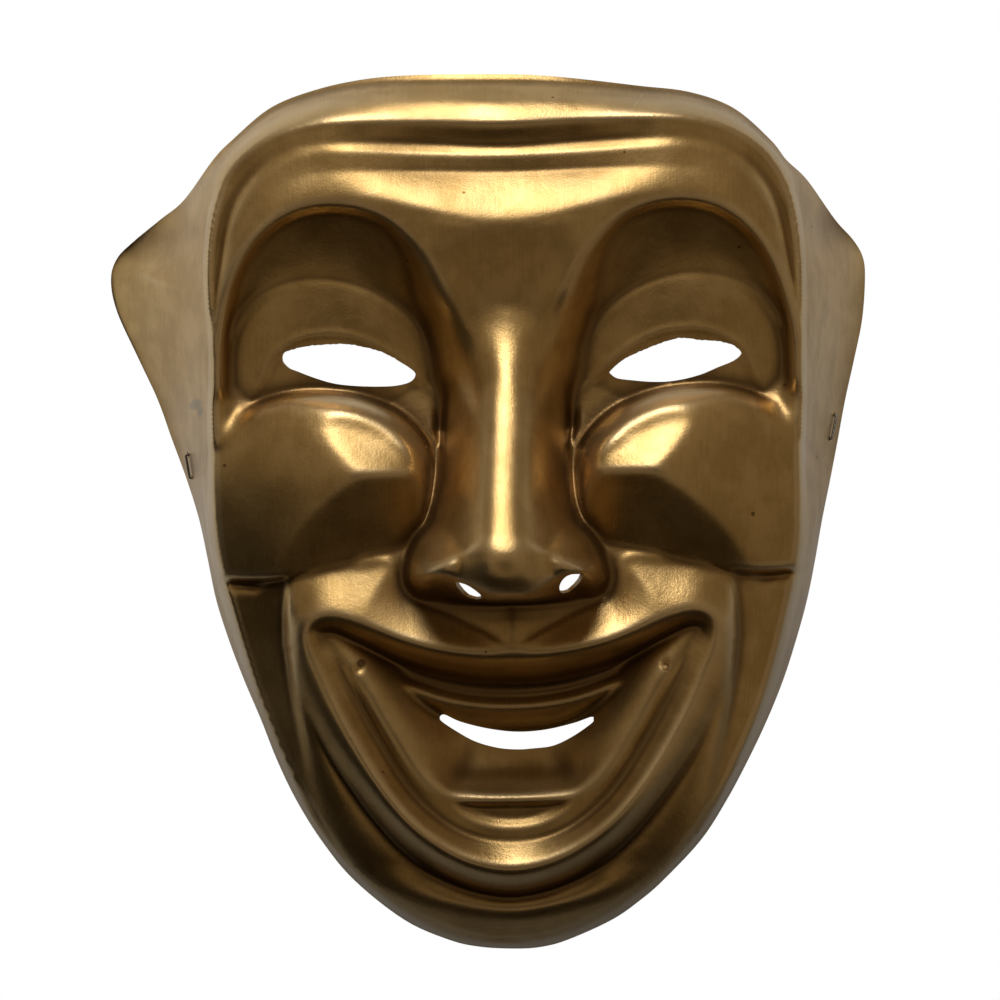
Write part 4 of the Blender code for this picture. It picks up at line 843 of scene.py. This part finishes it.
def build_staple(name, sizes, surface):
    """One wire staple: its crown outside the flap, its legs through their holes and bent over inside."""
    form = mask_form()
    (first, out_first), (second, out_second) = (surface_frame(form, end) for end in STAPLE_ENDS[name])
    outward = (out_first + out_second).normalized()
    along = (second - first).normalized()
    above = outward * (STAPLE_GAP + WIRE_RADIUS)
    below = outward * (-sizes.wall / MM - STAPLE_GAP - WIRE_RADIUS)
    leg = along * STAPLE_LEG
    corners = [first + below + leg, first + below, first + above]
    corners += [second + above, second + below, second + below - leg]
    path = rounded_path(corners, STAPLE_BEND)
    shift = Vector((*drawing_shift(), 0.0))
    curve = bpy.data.curves.new(name, "CURVE")
    curve.dimensions = "3D"
    curve.bevel_depth = sizes.wire_radius
    curve.bevel_resolution = 4
    curve.use_fill_caps = True
    wire = curve.splines.new("POLY")
    wire.points.add(len(path) - 1)
    for point, place in zip(wire.points, path):
        point.co = (*((place + shift) * MM), 1.0)
    made = placed(f"{name}_wire", curve, surface)
    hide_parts(name)
    return made


def node_group(name, inputs, outputs):
    """An empty shader group with its named sockets, given as (name, type, default)."""
    group = bpy.data.node_groups.new(name, "ShaderNodeTree")
    for label, kind, default in inputs:
        socket = group.interface.new_socket(label, in_out="INPUT", socket_type=kind)
        if default is not None:
            socket.default_value = default
    for label, kind, _ in outputs:
        group.interface.new_socket(label, in_out="OUTPUT", socket_type=kind)
    return group


class Wiring:
    """Short calls to add and join shader nodes in one tree."""

    def __init__(self, tree):
        self.tree = tree

    def add(self, kind, settings=(), **sockets):
        node = self.tree.nodes.new(kind)
        for key, value in dict(settings).items():
            setattr(node, key, value)
        for label, value in sockets.items():
            self.feed(node.inputs[label.replace("_", " ")], value)
        return node

    def feed(self, socket, value):
        if isinstance(value, bpy.types.NodeSocket):
            self.tree.links.new(value, socket)
        else:
            socket.default_value = value

    def maths(self, operation, *values):
        node = self.tree.nodes.new("ShaderNodeMath")
        node.operation = operation
        for socket, value in zip(node.inputs, values):
            self.feed(socket, value)
        return node.outputs[0]

    def ramp(self, value, low, high, to_low=0.0, to_high=1.0):
        """The value eased from one range to another."""
        node = self.tree.nodes.new("ShaderNodeMapRange")
        node.interpolation_type = "SMOOTHSTEP"
        for socket, given in zip(node.inputs, (value, low, high, to_low, to_high)):
            self.feed(socket, given)
        return node.outputs["Result"]

    def blend(self, share, first, second):
        """Two colours mixed by a share."""
        node = self.tree.nodes.new("ShaderNodeMix")
        node.data_type = "RGBA"
        self.feed(node.inputs["Factor"], share)
        self.feed(node.inputs["A"], first)
        self.feed(node.inputs["B"], second)
        return node.outputs["Result"]


def grain_group():
    """Fine grain of a sprayed or rolled finish: a height, and a slow change over the surface."""
    inputs = [("Size", "NodeSocketFloat", 0.001), ("Seed", "NodeSocketFloat", 0.0)]
    outputs = [("Height", "NodeSocketFloat", None), ("Patches", "NodeSocketFloat", None)]
    group = node_group("Paint grain", inputs, outputs)
    wiring = Wiring(group)
    given = group.nodes.new("NodeGroupInput").outputs
    put = group.nodes.new("NodeGroupOutput").inputs
    place = wiring.add("ShaderNodeTexCoord").outputs["Object"]
    moved = wiring.add("ShaderNodeVectorMath", {"operation": "ADD"})
    wiring.feed(moved.inputs[0], place)
    wiring.feed(moved.inputs[1], given["Seed"])
    fine = wiring.add("ShaderNodeTexNoise", Vector=moved.outputs[0],
                      Scale=wiring.maths("DIVIDE", 1.0, given["Size"]), Detail=3.0, Roughness=0.55)
    patches = wiring.add("ShaderNodeTexNoise", Vector=moved.outputs[0],
                         Scale=wiring.maths("DIVIDE", 0.06, given["Size"]), Detail=4.0, Roughness=0.6)
    wiring.feed(put["Height"], fine.outputs[0])
    wiring.feed(put["Patches"], patches.outputs[0])
    return group


def streaks_group():
    """Brush streaks, as a height round 0.5: fine across the strokes and long along them."""
    inputs = [("Width", "NodeSocketFloat", 0.0006), ("Length", "NodeSocketFloat", 0.01)]
    group = node_group("Brush streaks", inputs, [("Height", "NodeSocketFloat", None)])
    wiring = Wiring(group)
    given = group.nodes.new("NodeGroupInput").outputs
    put = group.nodes.new("NodeGroupOutput").inputs
    stroke = wiring.add("ShaderNodeAttribute", {"attribute_name": "stroke"}).outputs["Vector"]
    place = wiring.add("ShaderNodeSeparateXYZ", Vector=stroke)
    across = wiring.maths("DIVIDE", place.outputs["X"], given["Width"])
    along = wiring.maths("DIVIDE", place.outputs["Y"], given["Length"])
    laid = wiring.add("ShaderNodeCombineXYZ", X=across, Y=along).outputs["Vector"]
    streaks = wiring.add("ShaderNodeTexNoise", Vector=laid, Scale=1.0, Detail=3.0, Roughness=0.6)
    wiring.feed(put["Height"], streaks.outputs[0])
    return group


def spot_group():
    """One round or drawn-out spot of the paint, as a mask with soft edges."""
    inputs = [("Place", "NodeSocketVector", (0.0, 0.0, 0.0)), ("Turn", "NodeSocketFloat", 0.0),
              ("Length", "NodeSocketFloat", 0.001), ("Width", "NodeSocketFloat", 0.001)]
    group = node_group("Spot", inputs, [("Mask", "NodeSocketFloat", None)])
    wiring = Wiring(group)
    given = group.nodes.new("NodeGroupInput").outputs
    put = group.nodes.new("NodeGroupOutput").inputs
    place = wiring.add("ShaderNodeTexCoord").outputs["Object"]
    away = wiring.add("ShaderNodeVectorMath", {"operation": "SUBTRACT"})
    wiring.feed(away.inputs[0], place)
    wiring.feed(away.inputs[1], given["Place"])
    turned = wiring.add("ShaderNodeVectorRotate", {"rotation_type": "Z_AXIS"}, Vector=away.outputs[0])
    wiring.feed(turned.inputs["Angle"], given["Turn"])
    flat = wiring.add("ShaderNodeSeparateXYZ", Vector=turned.outputs[0])
    along = wiring.maths("POWER", wiring.maths("DIVIDE", flat.outputs["X"], given["Length"]), 2.0)
    across = wiring.maths("POWER", wiring.maths("DIVIDE", flat.outputs["Y"], given["Width"]), 2.0)
    wiring.feed(put["Mask"], wiring.ramp(wiring.maths("ADD", along, across), 1.6, 0.4, 0.0, 1.0))
    return group


def spots(wiring, spot, places):
    """The mask of all the given spots, each as (x, y, turn in degrees, length, width) in the drawing."""
    total = 0.0
    for x, y, turn, length, width in places:
        height = float(mask_form().height(np.array([x]), np.array([y]))[0])
        built = moulded(np.array([x]), np.array([y]), np.array([height]))[0]
        real_x, real_y, _ = built + (*drawing_shift(), 0.0)
        outputs = placed_group(wiring, spot, Place=(real_x * MM, real_y * MM, 0.0), Turn=math.radians(-turn),
                               Length=length * MM, Width=width * MM)
        total = wiring.maths("MAXIMUM", total, outputs["Mask"])
    return total


def specks_group():
    """Scattered small specks, as a mask."""
    inputs = [("Spacing", "NodeSocketFloat", 0.008), ("Radius", "NodeSocketFloat", 0.0003)]
    group = node_group("Specks", inputs, [("Mask", "NodeSocketFloat", None)])
    wiring = Wiring(group)
    given = group.nodes.new("NodeGroupInput").outputs
    put = group.nodes.new("NodeGroupOutput").inputs
    place = wiring.add("ShaderNodeTexCoord").outputs["Object"]
    scale = wiring.maths("DIVIDE", 1.0, given["Spacing"])
    cells = wiring.add("ShaderNodeTexVoronoi", Vector=place, Scale=scale)
    size = wiring.maths("DIVIDE", given["Radius"], given["Spacing"])
    chance = wiring.add("ShaderNodeSeparateColor", Color=cells.outputs["Color"])
    grown = wiring.maths("MULTIPLY", size, wiring.ramp(chance.outputs["Red"], 0.5, 1.0, 0.0, 2.0))
    mask = wiring.ramp(cells.outputs["Distance"], wiring.maths("MULTIPLY", grown, 1.5), grown, 0.0, 1.0)
    wiring.feed(put["Mask"], mask)
    return group


def placed_group(wiring, group, **sockets):
    node = wiring.tree.nodes.new("ShaderNodeGroup")
    node.node_tree = group
    for label, value in sockets.items():
        wiring.feed(node.inputs[label], value)
    return node.outputs


def new_material(name):
    made = bpy.data.materials.new(name)
    made.use_nodes = True
    return made, Wiring(made.node_tree), made.node_tree.nodes["Principled BSDF"]


def gold_paint(colours, grain, specks, streaks, spot):
    """Metallic gold paint on plastic, with painted shade that darkens its hollows and grooves, and ridges
    painted paler, partly as rubbed paint and partly as a painted highlight.
    """
    made, wiring, shader = new_material("Gold paint on plastic")
    fine = placed_group(wiring, grain, Size=0.0006, Seed=0.0)
    broad = placed_group(wiring, grain, Size=0.0022, Seed=3.0)
    dots = placed_group(wiring, specks, Spacing=0.009, Radius=0.00022)
    strokes = placed_group(wiring, streaks, Width=0.0005, Length=0.009)["Height"]
    crease = wiring.add("ShaderNodeAttribute", {"attribute_name": "crease"}).outputs["Fac"]
    hollow = wiring.add("ShaderNodeAttribute", {"attribute_name": "hollow"}).outputs["Fac"]
    dull = wiring.maths("MULTIPLY", fine["Patches"], 0.75)
    dull = wiring.maths("ADD", dull, wiring.maths("MULTIPLY", strokes, 0.25))
    colour = wiring.blend(wiring.ramp(dull, 0.38, 0.62), tuple(colours.gold), tuple(colours.gold_dark))
    layers = [
        # Painted shade: the deep hollows and the grooves are darkened towards the hollows colour.
        (wiring.ramp(hollow, 0.1, 1.2, 0.0, 0.6), colours.hollow),
        (wiring.ramp(crease, 0.01, 0.1, 0.0, 0.55), colours.hollow),
        # Ridges painted paler: partly rubbed paint, partly a painted highlight.
        (wiring.ramp(crease, -0.02, -0.12, 0.0, 0.5), colours.wear_and_highlight),
        (wiring.maths("MULTIPLY", dots["Mask"], 0.8), colours.hollow),
        # Dark spots: the first two are painted shade in the mouth-corner dimples, the rest dark specks.
        (wiring.maths("MULTIPLY", spots(wiring, spot, DARK_SPOTS), 0.9), colours.hollow),
        (wiring.maths("MULTIPLY", spots(wiring, spot, PALE_SPOTS), 0.6), colours.wear_and_highlight),
        (wiring.maths("MULTIPLY", spots(wiring, spot, SMUDGES), 0.5), colours.smudge),
    ]
    for share, paint in layers:
        colour = wiring.blend(share, colour, tuple(paint))
    wiring.feed(shader.inputs["Base Color"], colour)
    shader.inputs["Metallic"].default_value = 0.9
    rough = wiring.ramp(broad["Patches"], 0.3, 0.7, 0.30, 0.42)
    rough = wiring.maths("ADD", rough, wiring.maths("MULTIPLY", dots["Mask"], 0.2))
    wiring.feed(shader.inputs["Roughness"], rough)
    height = wiring.maths("ADD", wiring.maths("MULTIPLY", fine["Height"], 0.6), broad["Height"])
    height = wiring.maths("ADD", height, wiring.maths("MULTIPLY", strokes, 0.25))
    bump = wiring.add("ShaderNodeBump", Strength=0.45, Distance=0.00012, Height=height)
    wiring.feed(shader.inputs["Normal"], bump.outputs["Normal"])
    return made


def staple_steel(colours, grain, specks):
    """Dull staple wire."""
    made, wiring, shader = new_material("Staple wire")
    fine = placed_group(wiring, grain, Size=0.0003, Seed=7.0)
    dots = placed_group(wiring, specks, Spacing=0.0016, Radius=0.0002)
    dull = wiring.ramp(fine["Patches"], 0.3, 0.7)
    colour = wiring.blend(dull, tuple(colours.wire), tuple(colours.wire_dull))
    colour = wiring.blend(wiring.maths("MULTIPLY", dots["Mask"], 0.6), colour, tuple(colours.hollow))
    wiring.feed(shader.inputs["Base Color"], colour)
    shader.inputs["Metallic"].default_value = 1.0
    wiring.feed(shader.inputs["Roughness"], wiring.ramp(fine["Patches"], 0.3, 0.7, 0.3, 0.5))
    bump = wiring.add("ShaderNodeBump", Strength=0.3, Distance=0.00005, Height=fine["Height"])
    wiring.feed(shader.inputs["Normal"], bump.outputs["Normal"])
    return made


def pale_floor(stage):
    """A floor that reads plain white to the camera and glows as mid grey in the gold: its glow lights the
    gold's reflections, brighter towards the forehead and on the left, dimmer towards the chin and on the
    right.
    """
    made, wiring, shader = new_material("Pale floor")
    seen = wiring.add("ShaderNodeLightPath").outputs["Is Camera Ray"]
    shader.inputs["Base Color"].default_value = (0.0, 0.0, 0.0, 1.0)
    shader.inputs["Roughness"].default_value = 1.0
    shader.inputs["Specular IOR Level"].default_value = 0.0
    shader.inputs["Emission Color"].default_value = (*stage.floor_colour, 1.0)
    place = wiring.add("ShaderNodeSeparateXYZ", Vector=wiring.add("ShaderNodeTexCoord").outputs["Object"])
    glow = wiring.ramp(place.outputs["Y"], -0.14, 0.08, 0.2 * stage.floor_glow, stage.floor_glow)
    glow = wiring.maths("MULTIPLY", glow, wiring.ramp(place.outputs["X"], -0.1, 0.1, 1.0, 0.7))
    wiring.feed(shader.inputs["Emission Strength"], wiring.maths("MAXIMUM", glow, seen))
    return made


def soft_light(name, tilt, turn, width, height, power, stage):
    """A rectangular softbox that looks at the mask, its direction given as tilts from straight above."""
    light = bpy.data.lights.new(name, "AREA")
    light.shape = "RECTANGLE"
    light.size = width
    light.size_y = height
    light.energy = power
    lamp = bpy.data.objects.new(name, light)
    bpy.context.scene.collection.objects.link(lamp)
    tilt = math.radians(tilt)
    turn = math.radians(turn)
    aim = Vector((math.sin(turn), math.sin(tilt) * math.cos(turn), math.cos(tilt) * math.cos(turn)))
    lamp.location = aim * stage.light_distance
    lamp.rotation_euler = (-aim).to_track_quat("-Z", "Y").to_euler()
    return lamp


@functools.cache
def dark_cloth():
    """Matt near-black cloth on the cards."""
    made, _, shader = new_material("Dark card")
    shader.inputs["Base Color"].default_value = (0.012, 0.009, 0.006, 1.0)
    shader.inputs["Roughness"].default_value = 1.0
    shader.inputs["Specular IOR Level"].default_value = 0.0
    return made


def dark_card(name, turn, width, height, stage):
    """A dark card that stands beside the mask, seen by no camera: something dark for the gold to mirror."""
    away = Vector((math.sin(turn), -math.cos(turn), 0.0)) * stage.card_distance
    bpy.ops.mesh.primitive_plane_add(size=1.0, location=(away.x, away.y, height / 2))
    card = bpy.context.object
    card.name = name
    card.rotation_euler = (math.pi / 2, 0.0, turn)
    card.scale = (width, height, 1.0)
    card.data.materials.append(dark_cloth())
    card.visible_camera = False


def overhead_card(stage):
    """A small dark card above the camera, seen by no camera, which the level patches of the gold mirror."""
    bpy.ops.mesh.primitive_circle_add(
        radius=stage.overhead_radius, fill_type="NGON", location=(0.0, 0.02, 1.02 * VIEW_DISTANCE * MM))
    card = bpy.context.object
    card.name = "Card_overhead"
    card.visible_camera = False
    card.data.materials.append(dark_cloth())


def build_stage(stage):
    """Floor, dark cards, softbox, dim surroundings and the camera that looks straight down."""
    bpy.ops.mesh.primitive_plane_add(size=stage.floor_size, location=(0.0, 0.0, -FLOOR_DROP))
    floor = bpy.context.object
    floor.name = "Pale_floor"
    floor.data.materials.append(pale_floor(stage))
    dark_card("Card_below_chin", 0.0, 1.2, stage.card_height, stage)
    dark_card("Card_on_the_left", math.radians(-65.0), 0.8, 0.8 * stage.card_height, stage)
    soft_light("Key softbox", 62.0, -4.5, 0.4, 0.65, stage.key_power, stage)
    world = bpy.data.worlds.new("Dim room")
    bpy.context.scene.world = world
    world.use_nodes = True
    world.node_tree.nodes["Background"].inputs["Color"].default_value = (*stage.room_colour, 1.0)
    world.node_tree.nodes["Background"].inputs["Strength"].default_value = stage.room_light
    overhead_card(stage)
    lens = bpy.data.cameras.new("Camera")
    camera = bpy.data.objects.new("Camera", lens)
    bpy.context.scene.collection.objects.link(camera)
    shift_x, shift_y = drawing_shift()
    camera.location = ((shift_x + VIEW_CENTRE_X) * MM, shift_y * MM, VIEW_DISTANCE * MM)
    camera.rotation_euler = (0.0, 0.0, VIEW_ROLL)
    lens.angle = 2 * math.atan(VIEW_WIDTH / 2 / VIEW_DISTANCE)
    bpy.context.scene.camera = camera
    bpy.context.scene.view_settings.view_transform = "Standard"


class MaskSizes(bpy.types.PropertyGroup):
    """Sizes of the shell and its staples."""

    wall: FloatProperty(
        name="Wall", description="Thickness of the moulded shell", default=0.0012, unit="LENGTH")
    skin_spacing: FloatProperty(
        name="Skin detail", description="Spacing of the outer skin's points", default=0.00068,
        unit="LENGTH")
    wire_radius: FloatProperty(
        name="Wire radius", description="Half the thickness of the staple wire", default=0.0003,
        unit="LENGTH")


class MaskColours(bpy.types.PropertyGroup):
    """Colours of the paint and the wire."""

    gold: FloatVectorProperty(
        name="Gold", description="Colour of the gold paint", subtype="COLOR", size=4,
        default=(0.62, 0.41, 0.165, 1.0))
    gold_dark: FloatVectorProperty(
        name="Dull gold", description="Colour of duller patches of the paint", subtype="COLOR", size=4,
        default=(0.50, 0.32, 0.115, 1.0))
    # Colour of the painted shade in hollows and grooves, and of the dark specks and spots.
    hollow: FloatVectorProperty(
        name="Hollows", description="Colour in grooves and of specks", subtype="COLOR", size=4,
        default=(0.16, 0.09, 0.035, 1.0))
    # Colour of the ridges painted paler, partly rubbed paint and partly a painted highlight, and of the pale
    # scratches.
    wear_and_highlight: FloatVectorProperty(
        name="Worn ridges", description="Colour where the paint is rubbed on ridges", subtype="COLOR", size=4,
        default=(0.80, 0.62, 0.36, 1.0))
    smudge: FloatVectorProperty(
        name="Smudge", description="Colour of the grey smudge on the flap", subtype="COLOR", size=4,
        default=(0.20, 0.18, 0.15, 1.0))
    wire: FloatVectorProperty(
        name="Staple wire", description="Colour of the staple wire", subtype="COLOR", size=4,
        default=(0.42, 0.40, 0.37, 1.0))
    wire_dull: FloatVectorProperty(
        name="Dull wire", description="Colour of tarnished wire", subtype="COLOR", size=4,
        default=(0.22, 0.19, 0.16, 1.0))


class MaskStage(bpy.types.PropertyGroup):
    """The studio round the mask."""

    floor_size: FloatProperty(
        name="Floor", description="Side of the square pale floor", default=0.8, unit="LENGTH")
    floor_colour: FloatVectorProperty(
        name="Floor colour", description="Colour of the floor", subtype="COLOR", default=(1.0, 1.0, 1.0))
    floor_glow: FloatProperty(
        name="Floor glow", description="How bright the floor is in the gold's reflections", default=0.6)
    card_distance: FloatProperty(
        name="Card distance", description="Distance of the standing dark cards", default=0.5, unit="LENGTH")
    card_height: FloatProperty(
        name="Card height", description="Height of the card below the chin", default=0.75, unit="LENGTH")
    overhead_radius: FloatProperty(
        name="Overhead card", description="Radius of the dark card above the camera", default=0.36,
        unit="LENGTH")
    key_power: FloatProperty(
        name="Softbox power", description="Power of the softbox", default=5.6, unit="POWER")
    light_distance: FloatProperty(
        name="Light distance", description="Distance of the softbox", default=1.2, unit="LENGTH")
    room_light: FloatProperty(
        name="Room light", description="Brightness of the surroundings", default=0.2)
    room_colour: FloatVectorProperty(
        name="Room colour", description="Colour of the surroundings", subtype="COLOR",
        default=(1.0, 0.79, 0.54))


@functools.cache
def shared_groups():
    return grain_group(), specks_group(), streaks_group(), spot_group()


class MASK_OT_shell(bpy.types.Operator):
    """Build the gold-painted shell"""

    bl_idname = "mask.shell"
    bl_label = "Shell"

    def execute(self, context):
        scene = context.scene
        build_shell(scene.mask_sizes, gold_paint(scene.mask_colours, *shared_groups()))
        return {"FINISHED"}


class MASK_OT_staples(bpy.types.Operator):
    """Build both wire staples"""

    bl_idname = "mask.staples"
    bl_label = "Staples"

    def execute(self, context):
        scene = context.scene
        steel = staple_steel(scene.mask_colours, *shared_groups()[:2])
        for name in STAPLE_ENDS:
            build_staple(name, scene.mask_sizes, steel)
        return {"FINISHED"}


class MASK_OT_stage(bpy.types.Operator):
    """Build the floor, the lights and the camera"""

    bl_idname = "mask.stage"
    bl_label = "Stage"

    def execute(self, context):
        build_stage(context.scene.mask_stage)
        return {"FINISHED"}


class MASK_PT_panel(bpy.types.Panel):
    """The mask's sizes, colours and stage, with a button for each step"""

    bl_idname = "MASK_PT_panel"
    bl_label = "Theatre mask"
    bl_space_type = "VIEW_3D"
    bl_region_type = "UI"
    bl_category = "Mask"

    def draw(self, context):
        layout = self.layout
        scene = context.scene
        for group, operators in (
            (scene.mask_sizes, ("mask.shell", "mask.staples")),
            (scene.mask_colours, ()),
            (scene.mask_stage, ("mask.stage",)),
        ):
            box = layout.box()
            for name in group.bl_rna.properties.keys():
                if name not in {"rna_type", "name"}:
                    box.prop(group, name)
            for operator in operators:
                box.operator(operator)


CLASSES = (MaskSizes, MaskColours, MaskStage, MASK_OT_shell, MASK_OT_staples, MASK_OT_stage, MASK_PT_panel)


def register():
    for cls in CLASSES:
        bpy.utils.register_class(cls)
    bpy.types.Scene.mask_sizes = PointerProperty(type=MaskSizes)
    bpy.types.Scene.mask_colours = PointerProperty(type=MaskColours)
    bpy.types.Scene.mask_stage = PointerProperty(type=MaskStage)


def unregister():
    del bpy.types.Scene.mask_stage
    del bpy.types.Scene.mask_colours
    del bpy.types.Scene.mask_sizes
    for cls in reversed(CLASSES):
        bpy.utils.unregister_class(cls)


def main():
    register()
    bpy.ops.mask.shell()
    bpy.ops.mask.staples()
    bpy.ops.mask.stage()


if __name__ == "__main__":
    main()
